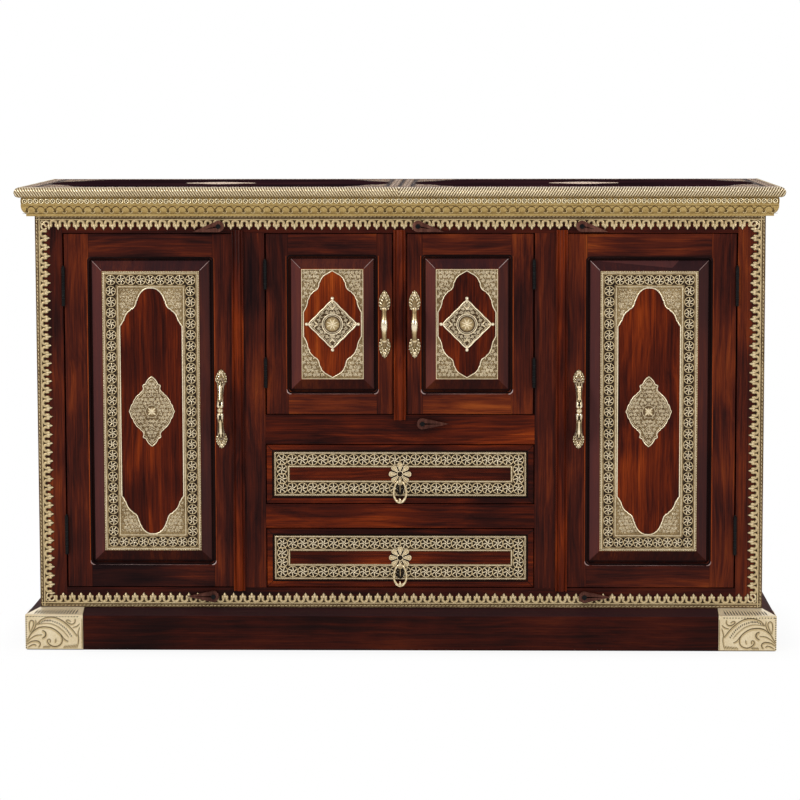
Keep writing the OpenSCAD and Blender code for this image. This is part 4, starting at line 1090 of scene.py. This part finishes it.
def rope(made):
    """Twisted rope edge: its ridges slant up to the middle of the front from both sides."""
    radius = (EDGE_HIGH[X] - BODY_X - BOARD_OUT) * 0.75
    middle_out, middle_z = EDGE_HIGH[X] - BODY_X - radius, EDGE_HIGH[Z] - radius
    pitch, rows_to_a_turn, slant, groove, side_top_darker = 5.2, 6, 1.25, 1.1, 0.55
    phi = np.radians(np.linspace(90, -90, 31))[None, :]
    for side in (0, -1, 1):
        reach = BODY_X + middle_out if side == 0 else BACK_Y - FRONT_Y + middle_out
        n = int(reach * (2 if side == 0 else 1) / pitch) * rows_to_a_turn
        t = np.linspace(-1 if side == 0 else 0, 1, n)[:, None]
        along = np.abs(t) * (reach + radius * np.cos(phi) if side == 0 else reach)
        depth = np.clip((np.sin(phi) + 0.95) / 0.4, 0, 1)
        wave = np.cos(2 * np.pi * (along / pitch - slant * np.sin(phi)))
        lift = (0.5 + 0.5 * depth * wave) ** 1.3
        r = radius - groove * (1 - lift ** 0.8)
        flat = np.full((n, 1), BOARD_OUT)
        out = np.concatenate([flat, middle_out + r * np.cos(phi), flat], 1)
        # painted highlight on the ridges' crests, painted shade in the grooves, and the upper half painted
        # lighter than the lower
        tone = (0.10 + 1.04 * lift) * (0.86 + 0.14 * np.sin(phi))
        # darker along the top of the side runs
        if side:
            tone = tone * np.where(phi > 0.9, side_top_darker, 1.0)
        z, tone = (np.pad(k, ((0, 0), (1, 1)), "edge") for k in (middle_z + r * np.sin(phi), tone))
        if side == 0:
            rows = np.stack([t * (BODY_X + out), FRONT_Y - out, z], 2)
        else:
            start = FRONT_Y - out
            rows = np.stack([side * (BODY_X + out), start + t * (BACK_Y - start), z], 2)
        if side != -1:
            rows, tone = rows[:, ::-1], tone[:, ::-1]
        made.strip(rows, tone)
        if side:
            made.add(rows[-1][::-1], [range(rows.shape[1])], 0.4, False)


three_sides(cove_row, cove_out, cove_up).build("cornice_relief", GOLD, "carcass", "sheet_brass")
beads = three_sides(bead_row, lambda v, h: BOARD_OUT + 2.0 + h, lambda v, h: EDGE_LOW[Z] + v)
beads.build("bead_strip_relief", GOLD, "carcass", "sheet_brass")
twisted = Relief()
rope(twisted)
twisted.build("rope_relief", SHEET, "carcass", "sheet_brass", "edge_brass")


# Brass on the top, inside the height of its sheet

def top_plate():
    """Brass sheet with two long fields, a medallion in each, and discs round and between them."""
    low, _, mid, half = spans("top_brass")
    half_w, half_l = half[X], half[Y]
    field_x, field_half, field_w, end = 367.5, 342.5, 195.0, 95.0
    discs_in, pitch = 12.2, 20.0
    scrolls_half, scrolls_w, scrolls_from = 341, 193, 248
    out = Relief()
    hole = ogee(field_w, field_half - end, end, TALL_END)[:, ::-1]
    out.sheet(rect(half_w, half_l), [hole + (s * field_x, 0) for s in (-1, 1)], high=0.7, tone=0.22, edge=0.4)
    for s in (-1, 1):
        out.loop(grown(hole, 2.0) + (s * field_x, 0), 3.0, 0.8, 0.6, tone=(0.2, 0.6))
        # dim 1.6 paints the top's medallions brighter, as a painted highlight
        out.stamp(MEDALLION, (s * field_x, 0), 90, dim=1.6)
    band(out, half_w, half_l, 0.0, 2.0, 0.7)
    discs = at_ends(half_l - discs_in, even(half_w - discs_in, pitch))
    discs += at_sides(half_w - discs_in, even(half_l - discs_in, pitch)[1:-1])
    discs += at_sides(12.0, even(half_l - 32.2, pitch))
    guilloche(out, discs, 0.6, dim=0.9)
    for s, e in ((-1, -1), (-1, 1), (1, -1), (1, 1)):
        middle = (s * field_x, 0)
        left, right = sorted(middle[0] + e * reach for reach in (scrolls_from, scrolls_half))
        filigree(out, 13.0, ((left, -scrolls_w), (right, scrolls_w)),
                 rect(scrolls_half, scrolls_w, middle), grown(hole, 5.0) + middle, 0.6, 31, dim=0.9)
    made = Relief().put(out, lambda u, v, h: (u, mid[Y] + v, low[Z] + 0.42 * h))
    # the top's brass takes the darker, pinker ramp of painted shade and painted reflection
    made.build("top_brass_relief", SHEET_TOP_SHADE_SHEEN, "carcass", "sheet_brass", "top_brass")


top_plate()


# Engraving on the plinth's brass corners

# CUT is the dark of a cut line; the second pair is the tone of a painted shade beside it
CUT, SOFT_SHADE = (0.05, 0.0), (0.66, 0.52)


def engraved(face_w, face_h):
    """Scrolls and feathered arcs in dark lines, from u = 0 at the outer side to face_w."""
    out = Relief()

    def line(width, *points):
        """A dark line through the points, smoothed, with a painted soft shade beside it."""
        p = np.array(points, float)
        step = np.concatenate([[0], np.cumsum(np.linalg.norm(np.diff(p, axis=0), axis=1))])
        at = np.linspace(0, step[-1], max(3, int(step[-1] / 2.5)))
        p = np.stack([np.interp(at, step, p[:, i]) for i in (0, 1)], 1)
        for _ in range(2):
            p[1:-1] = (p[:-2] + 2 * p[1:-1] + p[2:]) / 4
        out.ridge(p - (0.7, 1.3), 5.2 * width, 0.12, tone=SOFT_SHADE, taper=0.3)
        out.ridge(p, 1.5 * width, 0.25, tone=CUT, taper=0.4)

    def dashes(turn, length, *points):
        """Short strokes along a line, each turned a little from the one before."""
        p = np.array(points, float)
        for at in np.linspace(0, len(p) - 1, 4 * (len(p) - 1) + 1):
            spot = [np.interp(at, np.arange(len(p)), p[:, i]) for i in (0, 1)]
            out.leaf(spot, turn - 9 * at, length, 2.3, 0.25, steps=4, tone=CUT)

    dot_pitch, dash_pitch = 4.4, 5.8
    for i in range(int(face_h / dot_pitch)):
        out.dome((1.8, 2.4 + i * dot_pitch), 1.3, 0.3, sides=6, tone=CUT)
    for i in range(int((face_w - 8) / dash_pitch)):
        out.leaf((3.0 + i * dash_pitch, face_h - 3.2), 0, 3.6, 2.2, 0.3, steps=4, tone=CUT)
    line(0.6, (face_w - 1.2, 2), (face_w - 1.2, face_h - 6))
    line(1.1, (22.8, 49), (31, 58.5), (42.6, 63.5), (54.5, 64.2), (65.3, 61.5), (75.2, 56), (88, 45),
         (96, 36), (103, 26))
    dashes(110, 5.0, (26, 48), (38.6, 54.5), (50.5, 54.6), (67.3, 48.5), (80, 38), (90, 24))
    line(0.5, (24.7, 49.5), (38.6, 52.0), (50.5, 51.4), (64, 46), (76, 36), (86, 24))
    line(1.2, (3, 16), (11.9, 32.2), (18.8, 38.1), (26.7, 43.1), (36.6, 44.6), (50.5, 43.1), (60.4, 38.1),
         (69.3, 30.2), (74.3, 23.3), (78.2, 18.3), (85.1, 15.3))
    line(1.1, (69.3, 30.2), (73.3, 21.3), (73.3, 14.4), (68.3, 7.4), (60.4, 4.5), (52.5, 5.4), (45.5, 10.4),
         (42.6, 16.3), (44.6, 20.3), (48.5, 20.8), (51, 16.8), (48.5, 13.4))
    line(0.8, (3, 13.4), (10.9, 21.3), (20.8, 27.7), (33.7, 28.7))
    line(1.5, (33.7, 37.1), (39.6, 35.1), (41.6, 29.2), (38.6, 23.3), (33.7, 21.3))
    line(0.9, (60.4, 21.3), (62.4, 17.3), (59.4, 12.9))
    line(1.1, (3, 9.4), (10.9, 15.3), (22.8, 16.8), (29.7, 13.4), (29.7, 7.4), (25.7, 3.5))
    line(0.9, (5, 3.5), (14.9, 9.4), (20.8, 9.4), (21.5, 6.0))
    line(0.9, (9.9, 33.2), (7.9, 45), (8.4, 54), (11.9, 58.9), (16.8, 56.9), (17.8, 51), (13.9, 41.1),
         (10.9, 33.2))
    line(0.9, (12.9, 33.2), (19.0, 42.1), (22.0, 51), (20.8, 58.9))
    line(1.0, (99, 61), (100, 55), (96, 49.5), (88.1, 50), (80.2, 56), (84, 60), (91.1, 55))
    line(0.9, (108, 51), (103, 45), (94, 43.5))
    line(0.8, (108, 44), (104, 31.2), (106, 21.3), (104, 8))
    for k in range(9):
        line(0.5, (35 + 1.6 * k, 2.5), (37 + 1.6 * k, 6.5))
        line(0.7, (76 + 3.2 * k, 2.5), (79 + 3.2 * k, 7 + 0.4 * k))
    return out


def plinth_relief():
    """Engraving on the faces of both corners, and on the bevel above their front a sheet painted bright as a
    painted highlight, with strokes of painted shade and painted highlight.
    """
    low, high = spans("plinth_corners")[:2]
    front_w, side_w, foot, face = 114.0, 60.0, low[Z], 68.0
    slope, bevel_back, bevel_up = 28.6, 26.5, 10.7
    back, up = bevel_back / slope, bevel_up / slope
    front_work = engraved(front_w, face)
    narrow = side_w / front_w
    bevel_work = Relief()
    pitch, lean = 5.8, 0.3
    # painted highlight: a bright sheet over the whole bevel
    bevel_work.sheet([(1, 1), (front_w - 1, 1), (front_w - 1, 27.5), (1, 27.5)], high=0.1, tone=1.0)
    for i in range(int((front_w - 22) / pitch)):
        u = 17.0 + i * pitch
        turn = math.degrees(math.atan2(1, lean - back * (1 - u / front_w)))
        # strokes of a twist: dark ones as painted shade, bright ones as painted highlight
        bevel_work.leaf((u, 1.5), turn, 18.5, 2.3, 0.6, 0.2, tone=(-0.2, -0.4))
        bevel_work.leaf((u + pitch / 2, 1.5), turn, 21.0, 2.0, 0.8, 0.4, tone=(1.0, 1.2))

    def on_bevel(u, v, h):
        """v runs up the slope, which is mitred at its outer end and so is shorter at its top."""
        x = high[X] - v * back - u * (1 - v * back / front_w)
        return side * x, low[Y] + v * back - h * up, foot + face + 0.9 + v * up + h * back

    made = Relief()
    for side in (-1, 1):
        made.put(front_work, lambda u, v, h: (side * (high[X] - u), low[Y] - h, foot + v))
        made.put(front_work, lambda u, v, h: (side * (high[X] + h), low[Y] + u * narrow, foot + v))
        made.put(bevel_work, on_bevel)
    made.build("plinth_corner_relief", SHEET, "carcass", "sheet_brass")


plinth_relief()


# Camera, from its angles in degrees and its focal length and principal point in pixels

PLACE = Vector((0.1522, -5.3592, 1.122))
YAW, PITCH, ROLL = (math.radians(a) for a in (-1.027, 5.396, -0.083))
PICTURE, FOCAL, PRINCIPAL = 800, 2647, (430, 330)
SENSOR = 36.0


def camera():
    forward = Vector((math.sin(YAW) * math.cos(PITCH), math.cos(YAW) * math.cos(PITCH), -math.sin(PITCH)))
    right = Vector((math.cos(YAW), -math.sin(YAW), 0))
    over = right.cross(forward)
    r = right * math.cos(ROLL) + over * math.sin(ROLL)
    u = over * math.cos(ROLL) - right * math.sin(ROLL)
    data = bpy.data.cameras.new("camera")
    data.sensor_width = SENSOR
    data.lens = FOCAL * SENSOR / PICTURE
    data.shift_x = (PICTURE / 2 - PRINCIPAL[0]) / PICTURE
    data.shift_y = (PRINCIPAL[1] - PICTURE / 2) / PICTURE
    o = bpy.data.objects.new("camera", data)
    m = Matrix((r, u, -forward)).transposed().to_4x4()
    m.translation = PLACE
    o.matrix_world = m
    bpy.context.scene.collection.objects.link(o)
    bpy.context.scene.camera = o


camera()


# Light, background and floor

def area(name, place, aim, size, power):
    data = bpy.data.lights.new(name, "AREA")
    data.size = size
    data.energy = power
    o = bpy.data.objects.new(name, data)
    o.location = place
    o.rotation_euler = (Vector(aim) - Vector(place)).to_track_quat("-Z", "Y").to_euler()
    bpy.context.scene.collection.objects.link(o)


area("key", (-2.6, -2.7, 2.6), (0.1, 0, 0.45), 1.3, 72)
area("fill", (2.7, -2.6, 2.0), (-0.1, 0, 0.45), 1.3, 44)


def world():
    """White to the camera, and as a light a studio that is darker on the camera's side."""
    studio_world = bpy.data.worlds.new("world")
    bpy.context.scene.world = studio_world
    s = Shader(studio_world)
    rays = s.node("ShaderNodeLightPath").outputs
    strength = s.span(s.split(s.generated)[Y], -1.0, 0.3, 0.34, 1.0)
    white = s.node("ShaderNodeBackground", {0: (1, 1, 1, 1)})
    studio = s.node("ShaderNodeBackground", {0: "#fbfaff", 1: strength})
    shaders = {0: rays["Is Camera Ray"], 1: studio.outputs[0], 2: white.outputs[0]}
    s.close("ShaderNodeOutputWorld", s.node("ShaderNodeMixShader", shaders))


world()


def floor():
    """White paper: it takes the shadow near the object, and to the camera it fades to the
    background's white farther off."""
    half, body_x, body_y = 14.0, 0.74, 0.22
    s = Shader(bpy.data.materials.new("floor_paper"))
    colour = s.ramp(s.noise(s.coords, 3.0, 2.0), ((0.3, "#f7f7f7"), (0.7, "#fcfcfc")))
    paper = s.node("ShaderNodeBsdfDiffuse", {"Color": colour})
    white = s.node("ShaderNodeEmission", {"Color": (1, 1, 1, 1), "Strength": 1.0})
    place = s.split(s.coords)
    x = s.math("MAXIMUM", s.outside(place[X], 0.0, body_x), 0.0)
    y = s.math("MAXIMUM", s.outside(place[Y], 0.0, body_y), 0.0)
    off = s.math("SQRT", s.math("ADD", s.math("MULTIPLY", x, x), s.math("MULTIPLY", y, y)))
    fade = s.span(off, -0.30, 0.11, 0.0, 1.0, "SMOOTHSTEP")
    rays = s.node("ShaderNodeLightPath").outputs
    seen = s.math("MAXIMUM", rays["Is Camera Ray"], rays["Is Glossy Ray"])
    shaders = {0: s.math("MULTIPLY", fade, seen), 1: paper.outputs[0], 2: white.outputs[0]}
    mesh = bpy.data.meshes.new("floor")
    mesh.from_pydata([(u, v, 0) for u, v in rect(half, half)], [], [(0, 1, 2, 3)])
    mesh.materials.append(s.close("ShaderNodeOutputMaterial", s.node("ShaderNodeMixShader", shaders)))
    o = bpy.data.objects.new("floor", mesh)
    bpy.context.scene.collection.objects.link(o)


floor()


# Materials of the CAD nodes

# The plinth's front has a slope and no groove, so these half sizes in metres reach past it: its slope takes
# the painted light of a panel's slopes, with no painted groove shade
NO_GROOVE = (0.0, 0.0, 1.0, 1.0)
paint("plinth_front", wood("wood_plinth", X, ROSEWOOD_DARK, 2.2, shift=-0.06, bevel=NO_GROOVE), 1.2)
paint("plinth_sides", wood("wood_plinth_side", Y, ROSEWOOD_DARK, 3.4, gloss=0.45, shine=0.01), 1.2)
paint("plinth_back", wood("wood_plinth_back", X, ROSEWOOD_DARK, 4.4), 0.8)
paint("side_panels", wood("wood_side", Z, ROSEWOOD, 5.1), 0.8)
paint("back_panel", wood("wood_back", Z, ROSEWOOD_DARK, 5.9, gloss=0.45), 0.5)
paint("outer_stiles", wood("wood_stiles", Z, FRAME_WOOD, 27.4), 0.8)
paint("mullions", wood("wood_mullions", Z, FRAME_WOOD, 8.2, shift=-0.04), 0.8)
paint("main_rails", wood("wood_rails", X, ROSEWOOD_DARK, 9.1), 0.8)
paint("centre_rails", wood("wood_centre_rails", X, ROSEWOOD, 9.9, shift=-0.06), 0.8)
paint("centre_strip", wood("wood_strip", Z, ROSEWOOD, 10.4), 0.4)
paint("top_board", wood("wood_top", X, TOP_WOOD_SHEEN, 11.2, gloss=0.5, shine=0.0))
paint("cornice", PLATE)
paint("plinth_corners", CORNER_PLATE, 0.3)
INNER = wood("wood_inner", X, PLAIN_WOOD, 6.3, gloss=0.5)
INNER_SIDE = wood("wood_inner_side", Y, PLAIN_WOOD, 6.9, gloss=0.5)
for name in ("flat_panels", "shelves", "battens", "upper_drawer_box", "lower_drawer_box"):
    paint(name, INNER, 0.5)
for name in ("dividers", "drawer_guides"):
    paint(name, INNER_SIDE, 0.5)
for name in ("hinge_leaves", "hinge_pins", "button_screws"):
    paint(name, IRON)
BUTTON = wood("wood_buttons", Z, BUTTON_WOOD, 21.0)
for name in ("top_button_left", "top_button_middle", "top_button_right",
             "low_button_left", "low_button_middle", "low_button_right"):
    paint(name, BUTTON, 0.8)
for i, name in enumerate(("upper_drawer", "lower_drawer")):
    paint(name + "_front", wood(f"wood_{name}", X, ROSEWOOD, 18 + 1.7 * i, shift=-0.08), 0.8)


# Doors: the wood of frames and panels, and the beads round the panels

STRIP_WOOD = wood("wood_strips", Z, ROSEWOOD, 12.7)
# painted highlights: the mitre lines' wood and the lit edges' wood are wood painted bright
MITRE_HIGHLIGHT_WOOD = wood("wood_mitre_highlights", Z, MITRE_HIGHLIGHT, 12.1)
LIT_WOOD = wood("wood_lit_edges", Z, LIT_EDGE, 12.4)
GROOVE_W = 6.2
STRIP_ROUNDS = 2  # the reeded strips' edges are rounded twice, which makes them softer


def panel_bead(prefix, body, bead_wood):
    """The bead on the frame round a panel, painted dark as the shade of its groove, painted highlights
    on the frame's lit sides, and the painted highlights of bright lines at the bead's lower corners,
    along its foot and on the mitres above."""
    _, _, mid, half = spans(prefix + "_panel")
    half_w, half_l = half[X], half[Z]
    frame_y, field_y = spans(prefix + "_frame")[0][Y], spans(prefix + "_brass")[1][Y]
    place = front(mid[X], mid[Z], frame_y)
    bead_out, line_out, lit_out = 0.8, 3.3, 3.6
    bead, lit, lines = Relief(), Relief(), Relief()
    bead.loop(round_rect(half_w + bead_out, half_l + bead_out, 6.0), 3.2, 0.9)
    for s in (-1, 1):
        upright = [(s * (half_w + lit_out), v) for v in np.linspace(-half_l, half_l, 24)]
        lit.ridge(upright, 1.9, 0.7, taper=0.3)
    n = 7
    loop = round_rect(half_w + line_out, half_l + line_out, 9.0, n)
    for corner in (loop[2 * n:3 * n], loop[3 * n:]):
        # painted highlights at the bead's lower corners and along its foot
        lines.ridge(corner, 2.4, 0.8, taper=0.6, tone=CREST_HIGHLIGHT)
    lines.ridge(level_line(-0.9 * half_w, 0.9 * half_w, 12, -half_l - 3.2), 0.45, 0.3, taper=0.7)
    Relief().put(bead, place).build(prefix + "_bead", bead_wood, body, "rosewood")
    Relief().put(lit, place).build(prefix + "_lit", LIT_WOOD, body, "rosewood")
    made = Relief().put(lines, place)
    # the mitre lines, painted pale as highlights
    for side in (-1, 1):
        ends = [(mid[X] + side * (half_w - inset), field_y + sunk, mid[Z] + half_l - inset)
                for inset, sunk in ((6.0, 4.6), (24.6, -0.1))]
        made.tube(ends, 0.6, 0.4, np.array([1, 0, -side]) / math.sqrt(2), 0.5, 8)
    made.build(prefix + "_mitres", MITRE_HIGHLIGHT_WOOD, body, "rosewood")


def door_wood(prefix, body, seed, level_shift, panel_shift):
    """Paints a door's frame, panel and hinge halves. The frame's rails are as wide as its panel."""
    low, high, mid, half = (k * MM for k in spans(prefix + "_panel"))
    groove = [float(k) for k in (mid[X], mid[Z], half[X] - GROOVE_W * MM, half[Z] - GROOVE_W * MM)]
    frame_wood = wood(f"wood_{prefix}_frame", Z, FRAME_WOOD, seed, (low[X], high[X]), level_shift=level_shift)
    panel_wood = wood(f"wood_{prefix}_panel", Z, ROSEWOOD, seed + 0.6, bevel=groove, shift=panel_shift)
    paint(prefix + "_frame", frame_wood, 1.0)
    paint(prefix + "_panel", panel_wood, 0.6)
    paint(prefix + "_hinges", IRON)
    panel_bead(prefix, body, wood(f"wood_{prefix}_bead", Z, BEAD_SHADE, seed + 1.4))


for i, (side, tall_shift) in enumerate((("left", -0.22), ("right", 0.04))):
    for _ in range(STRIP_ROUNDS):
        paint(side + "_door_strip", STRIP_WOOD, 0.4)
    door_wood(side + "_door", side + "_door", 13 + 2.3 * i, tall_shift, -0.02)
    door_wood("small_" + side, f"small_{side}_door", 13 + 2.3 * i + 1.1, 0.10, 0.14)

bpy.context.scene.view_settings.view_transform = "Standard"
